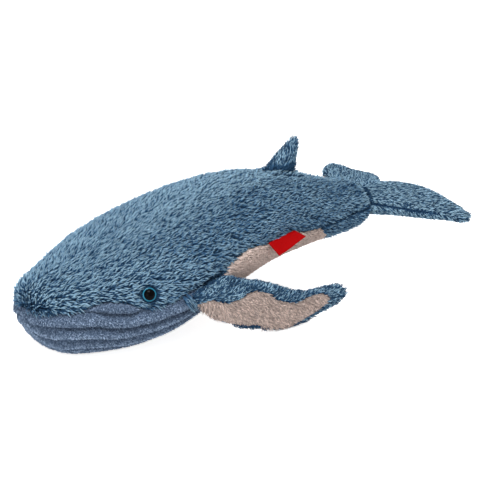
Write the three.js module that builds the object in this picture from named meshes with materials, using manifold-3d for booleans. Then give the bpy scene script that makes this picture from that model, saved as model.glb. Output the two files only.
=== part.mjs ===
// A plush whale that lies on its throat and its two side fins, with its tail clear of the ground.
// Plush covers are sewn round stuffing. The fins, the flukes, the back fin and the seam label bend.
// Millimetres, +Z up. The snout points to -X and the whale's left side to -Y.
import * as THREE from "three";
import { mergeVertices } from "three/addons/utils/BufferGeometryUtils.js";
import Module from "manifold-3d";

const wasm = await Module();
wasm.setup();

// Making
const coverThickness = 4; // backing cloth with its pile, on the body
const finCoverThickness = 2.5; // on the side fins and the flukes
const backFinCoverThickness = 2;
const seamGap = 0.3; // clearance between neighbouring pieces
const finRootGap = 1.6; // clearance of the side fins from the body's ribbed and faceted skin
const restCut = 0.5; // depth of the flats that the whale rests on
const overrun = 12; // how far a cutting solid runs past what it cuts
const edgeInsetShare = 1.6; // a filling keeps this many covers back from a fin's thin edge

// Body, from the snout to the round end of the tail stock
const bodyLength = 375; // snout to the middle of the tail's round end
const bodyWidth = 172;
const bodyHeight = 136;
const noseBulge = 4; // how far the snout bulges ahead of the first section
const tailEndRadius = 27;
const bodyStationShares = [0, 0.04, 0.136, 0.284, 0.477, 0.658, 0.84, 1];
const bodyHalfWidthShares = [0.132, 0.25, 0.391, 0.502, 0.456, 0.366, 0.263, 0.177];
const bodyTopShares = [0.553, 0.585, 0.692, 0.82, 0.957, 0.998, 0.902, 0.768];
const bodyBottomShares = [0.238, 0.092, 0.024, 0.051, 0.201, 0.312, 0.343, 0.371];
const noseRingShares = [0.95, 0.6]; // of the snout's bulge
const tailRingShares = [0.4, 0.7, 0.9, 0.99]; // of the tail's round end
const thinnestShare = 0.33; // a lining never comes closer to the middle than this
const sectionRoundness = 0.9; // power of the oval section: 1 is an ellipse, less is boxier
const widestLevelShare = 0.45; // where a section is widest, from its bottom

// Seams, as shares of the body's length and height
const sideSeamStationShares = [
  0, 0.027, 0.075, 0.101, 0.131, 0.157, 0.187, 0.208, 0.237, 0.269, 0.312, 0.35, 0.4, 0.443,
  0.464, 0.5, 0.53, 0.56, 0.597, 0.66, 0.717, 0.763, 0.84, 0.925, 1.07,
];
const sideSeamHeightShares = [
  0.368, 0.395, 0.419, 0.446, 0.467, 0.469, 0.443, 0.413, 0.407, 0.426, 0.449, 0.482, 0.51, 0.535,
  0.56, 0.596, 0.622, 0.625, 0.607, 0.603, 0.617, 0.571, 0.537, 0.537, 0.54,
];
const lipLineStationShares = [0, 0.075, 0.1, 0.142, 0.179, 0.204, 0.237, 0.32];
const lipLineDropShares = [0.006, 0.006, 0.022, 0.073, 0.062, 0.016, 0.006, 0.006];
const leastLipDropShare = 0.005;
const throatEndLevelShares = [-0.1, 0.08, 0.2, 0.3, 0.36, 0.4, 0.45, 0.6];
const throatEndStationShares = [0.452, 0.43, 0.39, 0.352, 0.34, 0.328, 0.316, 0.3];
const bellyEndLevelShares = [0.2, 0.35, 0.44, 0.51, 0.6];
const bellyEndStationShares = [0.915, 0.9, 0.878, 0.853, 0.845];

// Throat ribs
const ribsPerSide = 9;
const ribDepth = 2.4;
const ribCrownShares = [0.33, 0.67]; // where the crown of a rib starts and ends
const crowdingStartShare = 0.21; // of the body's length: the ribs draw together behind it
const crowdingGrowth = 1.5;

// Side fins: the root line is the hinge, and the rest is placed from it
const finRootFrontShare = 0.316; // of the body's length
const finRootRearShare = 0.438;
const finReach = 172; // from the root's front corner to the fin's tip, along the body
const finRootHeight = 68.7;
const finRootFrontDrop = 11;
const finOuterBulge = 10; // how far the outer face swells from the fin's middle
const finInnerBulge = 6;
const finSpread = 30; // how far the tip stands out past the root
const finStationShares = [
  0, 0.045, 0.09, 0.155, 0.26, 0.35, 0.43, 0.5, 0.58, 0.65, 0.71, 0.79, 0.86, 0.92, 0.97, 1,
];
const finLowerDropShares = [
  0.19, 0.275, 0.38, 0.5, 0.655, 0.78, 0.85, 0.93, 0.975, 1, 0.993, 0.95, 0.885, 0.835, 0.755, 0.63,
];
const finUpperDropShares = [
  0.16, 0.13, 0.1, 0.055, 0, 0.085, 0.14, 0.195, 0.29, 0.36, 0.41, 0.425, 0.435, 0.425, 0.455, 0.55,
];
const finLowerOutShares = [
  0.16, 0.25, 0.32, 0.33, 0.36, 0.36, 0.36, 0.33, 0.33, 0.34, 0.38, 0.45, 0.56, 0.7, 0.87, 0.95,
];
const finUpperOutShares = [
  0.14, 0.11, 0.08, 0.04, 0, 0.12, 0.22, 0.29, 0.4, 0.52, 0.68, 0.7, 0.7, 0.73, 0.8, 0.93,
];
const finSwellShares = [
  0.22, 0.4, 0.6, 0.82, 0.97, 1, 1, 1, 0.98, 0.94, 0.9, 0.86, 0.82, 0.75, 0.55, 0.22,
];
const finFillShares = [0.085, 0.975]; // where the filling starts and ends
const finSideOverShare = 0.02;
const finLift = 60; // degrees that the fin flaps out and up

// Pale patch on the outer face of each side fin, along its lower edge
const patchStationShares = [
  0.1, 0.14, 0.18, 0.26, 0.33, 0.4, 0.46, 0.53, 0.61, 0.7, 0.79, 0.85, 0.92, 0.955,
];
const patchTopShares = [
  0.3, 0.54, 0.62, 0.58, 0.62, 0.7, 0.76, 0.75, 0.58, 0.52, 0.68, 0.76, 0.7, 0.48,
];
const patchRimShares = [
  0.1, 0.05, 0.04, 0.05, 0.05, 0.06, 0.06, 0.06, 0.06, 0.08, 0.12, 0.17, 0.24, 0.34,
];

// Flukes
const flukeSpan = 224;
const flukeLength = 100; // from the middle of the tail's round end to the trailing edge
const flukeRise = 2; // how far the trailing edge stands over the leading edge
const flukeThickness = 29;
const flukeStationShares = [0, 0.07, 0.2, 0.4, 0.57, 0.76, 0.9, 0.965, 1];
const flukeFrontShares = [0.2, 0.22, 0.29, 0.4, 0.48, 0.6, 0.69, 0.74, 0.79];
const flukeRearShares = [0.72, 0.84, 0.96, 1, 0.97, 0.91, 0.86, 0.83, 0.81];
const flukeSwellShares = [0.92, 1, 0.9, 0.7, 0.58, 0.46, 0.34, 0.22, 0.08];
const flukeFillShare = 0.93; // how far out the filling reaches
const flukeSideShares = [-1.05, -0.5, 0, 0.5, 1.05];
const flukeSwing = 25; // degrees up and down

// Back fin
const backFinFrontShare = 0.735; // of the body's length
const backFinRearShare = 0.84;
const backFinHeight = 31;
const backFinRake = 3; // how far the tip stands behind the base
const backFinThickness = 12;
const backFinLevelShares = [-0.3, 0, 0.25, 0.5, 0.75, 0.92, 1];
const backFinFrontEdgeShares = [-0.12, 0.02, 0.24, 0.48, 0.72, 0.88, 0.97];
const backFinRearEdgeShares = [1.04, 1, 0.9, 0.9, 0.96, 1.02, 1.03];
const backFinSwellShares = [1, 1, 0.9, 0.75, 0.58, 0.42, 0.24];
const backFinFillShare = 0.94; // how far up the filling reaches
const backFinLean = 25; // degrees to either side

// Eyes
const eyeStationShare = 0.2245; // of the body's length
const eyeLevelShare = 0.509; // of the body's height
const irisDiameter = 12.7;
const irisThickness = 1.4;
const pupilDiameter = 10.4;
const pupilHeight = 3.6;
const eyeSink = 2.6; // how deep the iris sits in the pile
const shankDiameter = 4;
const shankLength = 13;
const washerDiameter = 15;
const washerThickness = 2;

// Seam label
const labelLength = 42;
const labelReach = 13.5;
const labelThickness = 1.2;
const labelFrontShare = 0.608; // of the body's length
const labelDroop = 18; // degrees below level
const labelSwing = 45; // degrees up and down

// Fineness of the faceted surfaces
const ringPoints = 20;
const surveySteps = 100; // in the search for the lowest place
const bodyRings = 12;
const liningPoints = 12;
const liningRings = 7;
const throatRings = 8;
const seamSteps = 28;
const crossSeamSteps = 8;
const patchSteps = 11;
const finRings = 10;
const flukeRings = 10;
const backFinRings = 7;
const lensPoints = 8;
const eyeFacets = 20;
const domeSteps = 5;
const sweepSteps = 4;

// Colours and finishes
const furBlue = { color: 0x5c7c95, roughness: 0.95, metalness: 0 };
const throatBlue = { color: 0x56677b, roughness: 0.9, metalness: 0 };
const plushBeige = { color: 0x9d8b85, roughness: 0.92, metalness: 0 };
const fillWhite = { color: 0xe8e6df, roughness: 1, metalness: 0 };
const gloss = { color: 0x06070a, roughness: 0.08, metalness: 0 };
const irisTeal = { color: 0x0f6f78, roughness: 0.15, metalness: 0 };
const washerWhite = { color: 0xd9d9d4, roughness: 0.5, metalness: 0 };
const labelRed = { color: 0xb4050a, roughness: 0.75, metalness: 0 };

// A smooth line through places given as shares: a station along it gives its values
function track(stationShares, ...columns) {
  const samples = stationShares.flatMap((share, i) => columns.map((column) => column[i]));
  const line = new THREE.CubicInterpolant(stationShares, samples, columns.length);
  return (share) => Array.from(line.evaluate(share));
}

function spread(from, to, count) {
  return Array.from({ length: count + 1 }, (_, i) => THREE.MathUtils.lerp(from, to, i / count));
}

function solidOf(geometry) {
  const bare = geometry.clone();
  bare.deleteAttribute("normal");
  bare.deleteAttribute("uv");
  const merged = mergeVertices(bare);
  return new wasm.Manifold(new wasm.Mesh({
    numProp: 3,
    vertProperties: merged.attributes.position.array,
    triVerts: Uint32Array.from(merged.index.array),
  }));
}

function geometryOf(solid) {
  const mesh = solid.getMesh();
  const geometry = new THREE.BufferGeometry();
  geometry.setAttribute("position", new THREE.BufferAttribute(mesh.vertProperties, mesh.numProp));
  geometry.setIndex(new THREE.BufferAttribute(mesh.triVerts, 1));
  geometry.computeVertexNormals();
  return geometry;
}

// A closed skin through rings of points that all run the same way round. Each four-sided face is
// split along one diagonal on the left and along the other on the right, so both sides match.
function loft(rings) {
  const count = rings[0].length;
  const points = rings.flat();
  const faces = [];
  for (let r = 0; r + 1 < rings.length; r += 1) {
    for (let i = 0; i < count; i += 1) {
      const here = r * count + i;
      const next = r * count + ((i + 1) % count);
      const corners = [here, next, next + count, here + count];
      const leftSide = corners.reduce((sum, index) => sum + points[index].y, 0) < 0;
      const order = leftSide ? [0, 1, 3, 1, 2, 3] : [0, 1, 2, 0, 2, 3];
      faces.push(...order.map((index) => corners[index]));
    }
  }
  for (const [ring, first] of [[rings[0], 0], [rings.at(-1), points.length - count]]) {
    const middle = points.length;
    points.push(ring.reduce((sum, p) => sum.add(p), new THREE.Vector3()).divideScalar(count));
    for (let i = 0; i < count; i += 1) {
      const next = first + ((i + 1) % count);
      faces.push(...(first === 0 ? [middle, next, first + i] : [middle, first + i, next]));
    }
  }
  const geometry = new THREE.BufferGeometry().setFromPoints(points);
  geometry.setIndex(faces);
  return facingOut(geometry);
}

function facingOut(geometry) {
  const solid = solidOf(geometry);
  return solid.volume() > 0 ? solid : solidOf(turnedInsideOut(geometry));
}

function turnedInsideOut(geometry) {
  const turned = geometry.index ? geometry.clone() : mergeVertices(geometry);
  const index = Array.from(turned.index.array);
  turned.setIndex(index.map((_, i) => index[i - (i % 3) + 2 - (i % 3)]));
  return turned;
}

// An outline in the XZ plane pulled along Y
function wall(outline, from, to) {
  const shape = new THREE.Shape(outline);
  const geometry = new THREE.ExtrudeGeometry(shape, { depth: to - from, bevelEnabled: false });
  geometry.rotateX(Math.PI / 2);
  geometry.translate(0, to, 0);
  return solidOf(geometry);
}

function block(low, high) {
  const size = high.clone().sub(low);
  const geometry = new THREE.BoxGeometry(size.x, size.y, size.z);
  geometry.translate(...low.clone().add(high).divideScalar(2).toArray());
  return solidOf(geometry);
}

function moved(solid, matrix) {
  return solidOf(geometryOf(solid).applyMatrix4(matrix));
}

function mirrored(solid) {
  const flip = new THREE.Matrix4().makeScale(1, -1, 1);
  return solidOf(turnedInsideOut(geometryOf(solid).applyMatrix4(flip)));
}

// A cut can leave crumbs beside the piece, and this leaves them out
function largestBody(solid) {
  return solid.decompose().reduce((best, part) => (part.volume() > best.volume() ? part : best));
}

// What is left of a piece once a fixed neighbour has been kept out of its whole swing
function clearedThroughSwing(piece, neighbour, pivot, axis, fromDegrees, toDegrees) {
  let cleared = piece;
  for (const degrees of spread(fromDegrees, toDegrees, sweepSteps)) {
    const turn = new THREE.Matrix4().makeTranslation(pivot)
      .multiply(new THREE.Matrix4().makeRotationAxis(axis, -THREE.MathUtils.degToRad(degrees)))
      .multiply(new THREE.Matrix4().makeTranslation(pivot.clone().negate()));
    cleared = cleared.subtract(moved(neighbour, turn));
  }
  return cleared;
}

// Body sections
const bodyLine = track(bodyStationShares, bodyHalfWidthShares, bodyTopShares, bodyBottomShares);
const tailEnd = bodyLength + tailEndRadius;
const lowestShare = Math.min(...spread(0, 1, surveySteps).map((share) => bodyLine(share)[2]));
const groundShift = lowestShare * bodyHeight + restCut;
const levelOf = (share) => share * bodyHeight - groundShift;
const tailEndLevel = levelOf((bodyTopShares.at(-1) + bodyBottomShares.at(-1)) / 2);

function section(x) {
  const [width, top, bottom] = bodyLine(THREE.MathUtils.clamp(x / bodyLength, 0, 1));
  const size = { half: width * bodyWidth, top: levelOf(top), bottom: levelOf(bottom) };
  if (x < 0) {
    shrink(size, Math.sqrt(Math.max(1 - (x / noseBulge) ** 2, 0)), (size.top + size.bottom) / 2);
  }
  if (x > bodyLength) {
    const along = Math.min((x - bodyLength) / tailEndRadius, 1);
    size.half *= (1 - along ** 4) ** (1 / 4);
    const rise = tailEndRadius * Math.sqrt(1 - along ** 2);
    size.top = tailEndLevel + rise;
    size.bottom = tailEndLevel - rise;
  }
  size.level = THREE.MathUtils.lerp(size.bottom, size.top, widestLevelShare);
  return size;
}

function shrink(size, share, middle) {
  size.half *= share;
  size.top = middle + (size.top - middle) * share;
  size.bottom = middle + (size.bottom - middle) * share;
}

const powered = (value, power) => Math.sign(value) * Math.abs(value) ** power;

// A point of the body's skin: the angle runs from the left side over the top, or under if negative
function skinPoint(x, angle, inset = 0) {
  const size = section(x);
  const half = Math.max(size.half - inset, size.half * thinnestShare);
  const rise = Math.sin(angle) > 0 ? size.top - size.level : size.level - size.bottom;
  const height = Math.max(rise - inset, rise * thinnestShare);
  const across = powered(Math.cos(angle), sectionRoundness);
  const up = powered(Math.sin(angle), sectionRoundness);
  return new THREE.Vector3(x, -half * across, size.level + height * up);
}

function angleAtLevel(x, level) {
  const size = section(x);
  const reach = level > size.level ? size.top - size.level : size.level - size.bottom;
  const share = THREE.MathUtils.clamp((level - size.level) / reach, -1, 1);
  return Math.asin(powered(share, 1 / sectionRoundness));
}

const noseStations = noseRingShares.map((share) => -noseBulge * share);
const tailStations = tailRingShares.map((share) => bodyLength + tailEndRadius * share);

// The skin's own shape, or the coarser lining and filling under it
function bodyLoft(inset) {
  const lining = inset > 0;
  const middles = spread(0, bodyLength, lining ? liningRings : bodyRings);
  const ends = lining ? tailStations.slice(0, -1) : tailStations;
  const stations = [...noseStations, ...middles, ...ends];
  const angles = spread(0, 2 * Math.PI, lining ? liningPoints : ringPoints).slice(0, -1);
  const middle = (tailEnd - noseBulge) / 2;
  return loft(stations.map((x) => angles.map((angle) => {
    const point = skinPoint(x, angle, inset);
    point.x -= inset * powered((x - middle) / middle, 3);
    return point;
  })));
}

// Seams
const sideSeam = track(sideSeamStationShares, sideSeamHeightShares);
const lipDrop = track(lipLineStationShares, lipLineDropShares);

function seamLevel(x) {
  return levelOf(sideSeam(THREE.MathUtils.clamp(x / bodyLength, 0, sideSeamStationShares.at(-1)))[0]);
}

function ribTopLevel(x) {
  const [drop] = lipDrop(THREE.MathUtils.clamp(x / bodyLength, 0, lipLineStationShares.at(-1)));
  return seamLevel(x) - bodyHeight * Math.max(drop, leastLipDropShare);
}

function seamPoints(shift) {
  const stations = [-noseBulge - overrun, ...spread(0, tailEnd, seamSteps), tailEnd + overrun];
  return stations.map((x) => new THREE.Vector2(x, seamLevel(x) + shift));
}

function crossSeamPoints(levelShares, stationShares, shift) {
  const line = track(levelShares, stationShares);
  return spread(levelShares[0], levelShares.at(-1), crossSeamSteps)
    .map((share) => new THREE.Vector2(line(share)[0] * bodyLength + shift, levelOf(share)));
}

const frame = {
  front: -noseBulge - overrun,
  rear: tailEnd + overrun,
  low: -overrun,
  high: bodyHeight + overrun,
  side: bodyWidth,
};
const corner = (x, z) => new THREE.Vector2(x, z);
const acrossBody = (outline) => wall(outline, -frame.side, frame.side);
const aboveSeam = () => acrossBody([
  ...seamPoints(seamGap / 2), corner(frame.rear, frame.high), corner(frame.front, frame.high),
]);
const belowSeam = () => acrossBody([
  ...seamPoints(-seamGap / 2), corner(frame.rear, frame.low), corner(frame.front, frame.low),
]);
const aheadOf = (levels, stations) => acrossBody([
  corner(frame.front, levelOf(levels[0])), ...crossSeamPoints(levels, stations, -seamGap / 2),
  corner(frame.front, levelOf(levels.at(-1))),
]);
const behind = (levels, stations) => acrossBody([
  ...crossSeamPoints(levels, stations, seamGap / 2), corner(frame.rear, levelOf(levels.at(-1))),
  corner(frame.rear, levelOf(levels[0])),
]);
const ground = block(
  new THREE.Vector3(frame.front, -frame.side, -2 * overrun),
  new THREE.Vector3(frame.rear + flukeLength, frame.side, 0),
);

// Half of a section from the first rib under the lip down to the middle of the throat
class ThroatHalfSection extends THREE.Curve {
  constructor(x) {
    super();
    this.x = x;
    this.start = angleAtLevel(x, ribTopLevel(x));
  }

  getPoint(share) {
    return skinPoint(this.x, THREE.MathUtils.lerp(this.start, -Math.PI / 2, share));
  }
}

function ribbedRing(x) {
  const half = new ThroatHalfSection(x);
  const size = section(x);
  const middle = new THREE.Vector3(x, 0, size.level);
  const crowding = 1 + crowdingGrowth * Math.max(x / bodyLength - crowdingStartShare, 0);
  const depth = Math.min(ribDepth, size.half / 4);
  const place = (rib) => half.getPointAt(Math.min(rib / ribsPerSide, 1) ** crowding);
  const left = [
    skinPoint(x, angleAtLevel(x, seamLevel(x) + coverThickness)),
    skinPoint(x, angleAtLevel(x, (seamLevel(x) + ribTopLevel(x)) / 2)),
  ];
  for (let rib = 0; rib <= ribsPerSide; rib += 1) {
    const groove = place(rib);
    left.push(groove.add(middle.clone().sub(groove).setLength(depth)));
    if (rib < ribsPerSide) {
      left.push(...ribCrownShares.map((share) => place(rib + share)));
    }
  }
  const right = left.slice(0, -1).reverse().map((p) => new THREE.Vector3(p.x, -p.y, p.z));
  return [...left, ...right];
}

function throatLoft() {
  const rear = Math.max(...throatEndStationShares) * bodyLength + overrun;
  return loft([...noseStations, ...spread(0, rear, throatRings)].map(ribbedRing));
}

// Eyes, made along the skin's normal
const eyeX = eyeStationShare * bodyLength;
const eyeAngle = angleAtLevel(eyeX, levelOf(eyeLevelShare));
const eyePlace = skinPoint(eyeX, eyeAngle);
const smallTurn = seamGap / bodyHeight;
const eyeNormal = skinPoint(eyeX + seamGap, eyeAngle).sub(eyePlace)
  .cross(skinPoint(eyeX, eyeAngle + smallTurn).sub(eyePlace)).normalize();

function turned(profile) {
  const points = profile.map(([radius, height]) => new THREE.Vector2(radius, height));
  const geometry = new THREE.LatheGeometry(points, eyeFacets);
  geometry.rotateX(Math.PI / 2);
  const outward = new THREE.Quaternion().setFromUnitVectors(new THREE.Vector3(0, 0, 1), eyeNormal);
  const placing = new THREE.Matrix4().makeRotationFromQuaternion(outward).setPosition(eyePlace);
  return moved(facingOut(geometry), placing);
}

const washerTop = -coverThickness - seamGap;
const irisTop = irisThickness - eyeSink;
const pupilBase = irisTop + seamGap;
const shankEnd = pupilBase - shankLength;
const shankBore = shankDiameter / 2 + seamGap;

function plug(radius, from, to) {
  return turned([[0, from], [radius, from], [radius, to], [0, to]]);
}

function ring(outer, inner, from, to) {
  return turned([[inner, from], [outer, from], [outer, to], [inner, to], [inner, from]]);
}

function pupil() {
  const dome = spread(0, Math.PI / 2, domeSteps).slice(0, -1).map((angle) => [
    Math.cos(angle) * pupilDiameter / 2, pupilBase + Math.sin(angle) * pupilHeight,
  ]);
  const shank = [[0, shankEnd], [shankDiameter / 2, shankEnd], [shankDiameter / 2, pupilBase]];
  return turned([...shank, ...dome, [0, pupilBase + pupilHeight]]);
}

function iris() {
  return ring(irisDiameter / 2, shankBore, -eyeSink, irisTop);
}

function washer() {
  return ring(washerDiameter / 2, shankBore, washerTop - washerThickness, washerTop);
}

// What the eye needs of the cover: a seat for the iris, a hole for the shank and a flat for the washer
function eyeSeat() {
  return plug(irisDiameter / 2 + seamGap, -eyeSink - seamGap, overrun)
    .add(plug(shankBore, -overrun, overrun))
    .add(plug(washerDiameter / 2 + seamGap, -overrun, -coverThickness));
}

// What the eye needs of the stuffing
function eyePocket() {
  return plug(washerDiameter / 2 + seamGap, washerTop - washerThickness - seamGap, 0)
    .add(plug(shankBore, shankEnd - seamGap, 0));
}

// Padded fins have a lens section with blunt edges. An angle runs round it from the first edge.
const halfStep = Math.PI / lensPoints;
const lensAngles = spread(halfStep, 2 * Math.PI - halfStep, lensPoints - 1);

function wayAcross(angle) {
  return (1 - Math.cos(angle) / Math.cos(halfStep)) / 2;
}

// Side fins
const finLine = track(
  finStationShares, finLowerDropShares, finUpperDropShares, finLowerOutShares, finUpperOutShares,
  finSwellShares,
);
const finRootFront = rootPoint(finRootFrontShare, finRootHeight - finRootFrontDrop);
const finRootRear = rootPoint(finRootRearShare, finRootHeight);
const finAxis = finRootFront.clone().sub(finRootRear).normalize();

function rootPoint(share, level) {
  return skinPoint(share * bodyLength, angleAtLevel(share * bodyLength, level));
}

function finPlace(share) {
  const [lowerDrop, upperDrop, lowerOut, upperOut, swell] = finLine(share);
  const drop = finRootHeight + restCut;
  const x = finRootFront.x + share * finReach;
  const place = (outShare, dropShare) => new THREE.Vector3(
    x, finRootRear.y - outShare * finSpread, finRootHeight - dropShare * drop,
  );
  const lower = place(lowerOut, lowerDrop);
  const upper = place(upperOut, upperDrop);
  const along = upper.clone().sub(lower);
  const out = new THREE.Vector3(0, -along.z, along.y).normalize();
  return { lower, upper, along, out, swell };
}

// Stations from one share of the reach to another, on the same rings wherever it starts
function finStations(from, to) {
  return [from, ...spread(0, 1, finRings).filter((share) => share > from && share < to), to];
}

function finLoft(inset) {
  const trim = inset / finReach;
  const [from, to] = inset > 0 ? [finFillShares[0] + trim, finFillShares[1] - trim] : [0, 1];
  return loft(finStations(from, to).map((share) => {
    const { lower, along, out, swell } = finPlace(share);
    const edge = edgeInsetShare * inset / along.length();
    return lensAngles.map((angle) => {
      const way = THREE.MathUtils.lerp(edge, 1 - edge, wayAcross(angle));
      const bulge = Math.sin(angle) > 0 ? finOuterBulge : finInnerBulge;
      const thick = bulge * swell - inset;
      return lower.clone().addScaledVector(along, way).addScaledVector(out, thick * Math.sin(angle));
    });
  }));
}

// The room on one side of the fin's middle surface
function finSide(outward) {
  const near = outward * seamGap / 2;
  const far = outward * (finOuterBulge + overrun);
  return loft(finStations(-finSideOverShare, 1 + finSideOverShare).map((share) => {
    const onFin = THREE.MathUtils.clamp(share, 0, 1);
    const { lower, upper, along, out } = finPlace(onFin);
    const beyond = along.clone().setLength(overrun);
    const shift = new THREE.Vector3((share - onFin) * finReach, 0, 0);
    const below = lower.clone().sub(beyond).add(shift);
    const above = upper.clone().add(beyond).add(shift);
    const offset = (point, by) => point.clone().addScaledVector(out, by);
    return [offset(below, near), offset(above, near), offset(above, far), offset(below, far)];
  }));
}

// The patch's outline, grown by a margin or shrunk by a negative one
function patchRoom(margin) {
  const line = track(patchStationShares, patchTopShares, patchRimShares);
  const edgePoint = (share, column) => {
    const { lower, along } = finPlace(share);
    const point = lower.clone().addScaledVector(along, line(share)[column]);
    return new THREE.Vector2(point.x, point.z);
  };
  const shares = spread(patchStationShares[0], patchStationShares.at(-1), patchSteps);
  const outline = [
    ...shares.map((share) => edgePoint(share, 0)),
    ...shares.map((share) => edgePoint(share, 1)).reverse(),
  ];
  const grown = outline.map((point, i) => {
    const before = outline[(i + outline.length - 1) % outline.length];
    const after = outline[(i + 1) % outline.length];
    const run = after.clone().sub(before).normalize();
    return point.clone().addScaledVector(new THREE.Vector2(-run.y, run.x), margin);
  });
  return wall(grown, -frame.side, 0);
}

// Flukes
const flukeLine = track(flukeStationShares, flukeFrontShares, flukeRearShares, flukeSwellShares);
const flukeLevel = tailEndLevel - flukeRise / 2;

function flukePlace(share) {
  const [front, rear, swell] = flukeLine(Math.abs(share));
  const y = share * flukeSpan / 2;
  return {
    front: new THREE.Vector3(bodyLength + front * flukeLength, y, flukeLevel),
    rear: new THREE.Vector3(bodyLength + rear * flukeLength, y, flukeLevel + flukeRise),
    swell,
  };
}

function flukeLoft(inset) {
  const reach = inset > 0 ? flukeFillShare - 2 * inset / flukeSpan : 1;
  const shares = spread(-Math.PI / 2, Math.PI / 2, flukeRings).map((angle) => Math.sin(angle) * reach);
  return loft(shares.map((share) => {
    const { front, rear, swell } = flukePlace(share);
    const along = rear.clone().sub(front);
    const edge = edgeInsetShare * inset / along.length();
    return lensAngles.map((angle) => {
      const way = THREE.MathUtils.lerp(edge, 1 - edge, wayAcross(angle));
      const point = front.clone().addScaledVector(along, way);
      point.z += Math.sin(angle) * (swell * flukeThickness / 2 - inset);
      return point;
    });
  }));
}

// The room over or under the flukes' middle surface
function flukeSide(upward) {
  const near = upward * seamGap / 2;
  const far = upward * (flukeThickness + overrun);
  return loft(flukeSideShares.map((share) => {
    const y = share * flukeSpan / 2;
    const rear = bodyLength + flukeLength + overrun;
    return [
      new THREE.Vector3(bodyLength, y, flukeLevel + near),
      new THREE.Vector3(rear, y, flukeLevel + flukeRise + near),
      new THREE.Vector3(rear, y, flukeLevel + flukeRise + far),
      new THREE.Vector3(bodyLength, y, flukeLevel + far),
    ];
  }));
}

// Back fin
const backFinFront = topOfBack(backFinFrontShare);
const backFinRear = topOfBack(backFinRearShare);
const backFinAxis = backFinRear.clone().sub(backFinFront).normalize();
const backFinLine = track(
  backFinLevelShares, backFinFrontEdgeShares, backFinRearEdgeShares, backFinSwellShares,
);

function topOfBack(share) {
  return new THREE.Vector3(share * bodyLength, 0, section(share * bodyLength).top);
}

function backFinLoft(inset) {
  const base = backFinRear.x - backFinFront.x;
  const level = (backFinFront.z + backFinRear.z) / 2;
  const high = inset > 0 ? backFinFillShare - inset / backFinHeight : 1;
  return loft(spread(backFinLevelShares[0], high, backFinRings - 1).map((share) => {
    const [frontShare, rearShare, swell] = backFinLine(share);
    const rake = backFinRake * share;
    const front = backFinFront.x + frontShare * base + rake + inset;
    const rear = backFinFront.x + rearShare * base + rake - inset;
    const thick = swell * backFinThickness / 2 - inset;
    return lensAngles.map((angle) => new THREE.Vector3(
      THREE.MathUtils.lerp(front, rear, wayAcross(angle)),
      Math.sin(angle) * thick,
      level + share * backFinHeight,
    ));
  }));
}

// Seam label
const labelFront = seamPoint(labelFrontShare * bodyLength);
const labelRear = seamPoint(labelFrontShare * bodyLength + labelLength);
const labelAxis = labelRear.clone().sub(labelFront).normalize();

function seamPoint(x) {
  return skinPoint(x, angleAtLevel(x, seamLevel(x)));
}

function labelSheet() {
  const droop = THREE.MathUtils.degToRad(labelDroop);
  const out = new THREE.Vector3(0, -Math.cos(droop), -Math.sin(droop));
  out.addScaledVector(labelAxis, -out.dot(labelAxis)).normalize();
  const up = new THREE.Vector3().crossVectors(out, labelAxis).normalize();
  const placing = new THREE.Matrix4().makeBasis(labelAxis, out, up);
  placing.setPosition(labelFront.clone().add(labelRear).divideScalar(2));
  const length = labelFront.distanceTo(labelRear);
  const geometry = new THREE.BoxGeometry(length, labelReach + coverThickness, labelThickness);
  geometry.translate(0, (labelReach - coverThickness) / 2, 0);
  return facingOut(geometry.applyMatrix4(placing));
}

// Assembly
const whale = new THREE.Group();

function addPiece(name, solid, finish) {
  const mesh = new THREE.Mesh(geometryOf(largestBody(solid)), new THREE.MeshStandardMaterial(finish));
  mesh.name = name;
  whale.add(mesh);
}

function addPair(name, solid, finish) {
  addPiece(`left_${name}`, solid, finish);
  addPiece(`right_${name}`, mirrored(solid), finish);
}

function addBody() {
  const pockets = eyePocket().add(mirrored(eyePocket()));
  const cover = bodyLoft(0).subtract(bodyLoft(coverThickness));
  const leftRoom = block(
    new THREE.Vector3(frame.front, -frame.side, frame.low),
    new THREE.Vector3(frame.rear, -seamGap / 2, frame.high),
  );
  const underside = cover.intersect(belowSeam());
  const throat = throatLoft().subtract(bodyLoft(coverThickness)).intersect(belowSeam())
    .intersect(aheadOf(throatEndLevelShares, throatEndStationShares)).subtract(ground);
  const belly = underside.intersect(behind(throatEndLevelShares, throatEndStationShares))
    .intersect(aheadOf(bellyEndLevelShares, bellyEndStationShares));
  const tail = underside.intersect(behind(bellyEndLevelShares, bellyEndStationShares));
  addPair("side_panel", cover.intersect(aboveSeam()).intersect(leftRoom).subtract(eyeSeat()), furBlue);
  addPiece("throat_panel", throat, throatBlue);
  addPiece("belly_panel", belly, plushBeige);
  addPiece("tail_underside", tail, furBlue);
  addPiece("body_stuffing", bodyLoft(coverThickness + seamGap).subtract(pockets), fillWhite);
}

function addEyes() {
  addPair("eye_pupil", pupil(), gloss);
  addPair("eye_iris", iris(), irisTeal);
  addPair("eye_washer", washer(), washerWhite);
}

function addSideFins(keepOut) {
  const clear = (solid) => clearedThroughSwing(solid, keepOut, finRootRear, finAxis, 0, finLift)
    .subtract(ground);
  const shell = clear(finLoft(0)).subtract(finLoft(finCoverThickness));
  const outer = shell.intersect(finSide(1));
  addPair("fin_outer_cover", outer.subtract(patchRoom(seamGap / 2)), furBlue);
  addPair("fin_patch", outer.intersect(patchRoom(-seamGap / 2)), plushBeige);
  addPair("fin_inner_cover", shell.intersect(finSide(-1)), furBlue);
  addPair("fin_wadding", clear(finLoft(finCoverThickness + seamGap)), fillWhite);
}

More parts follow.
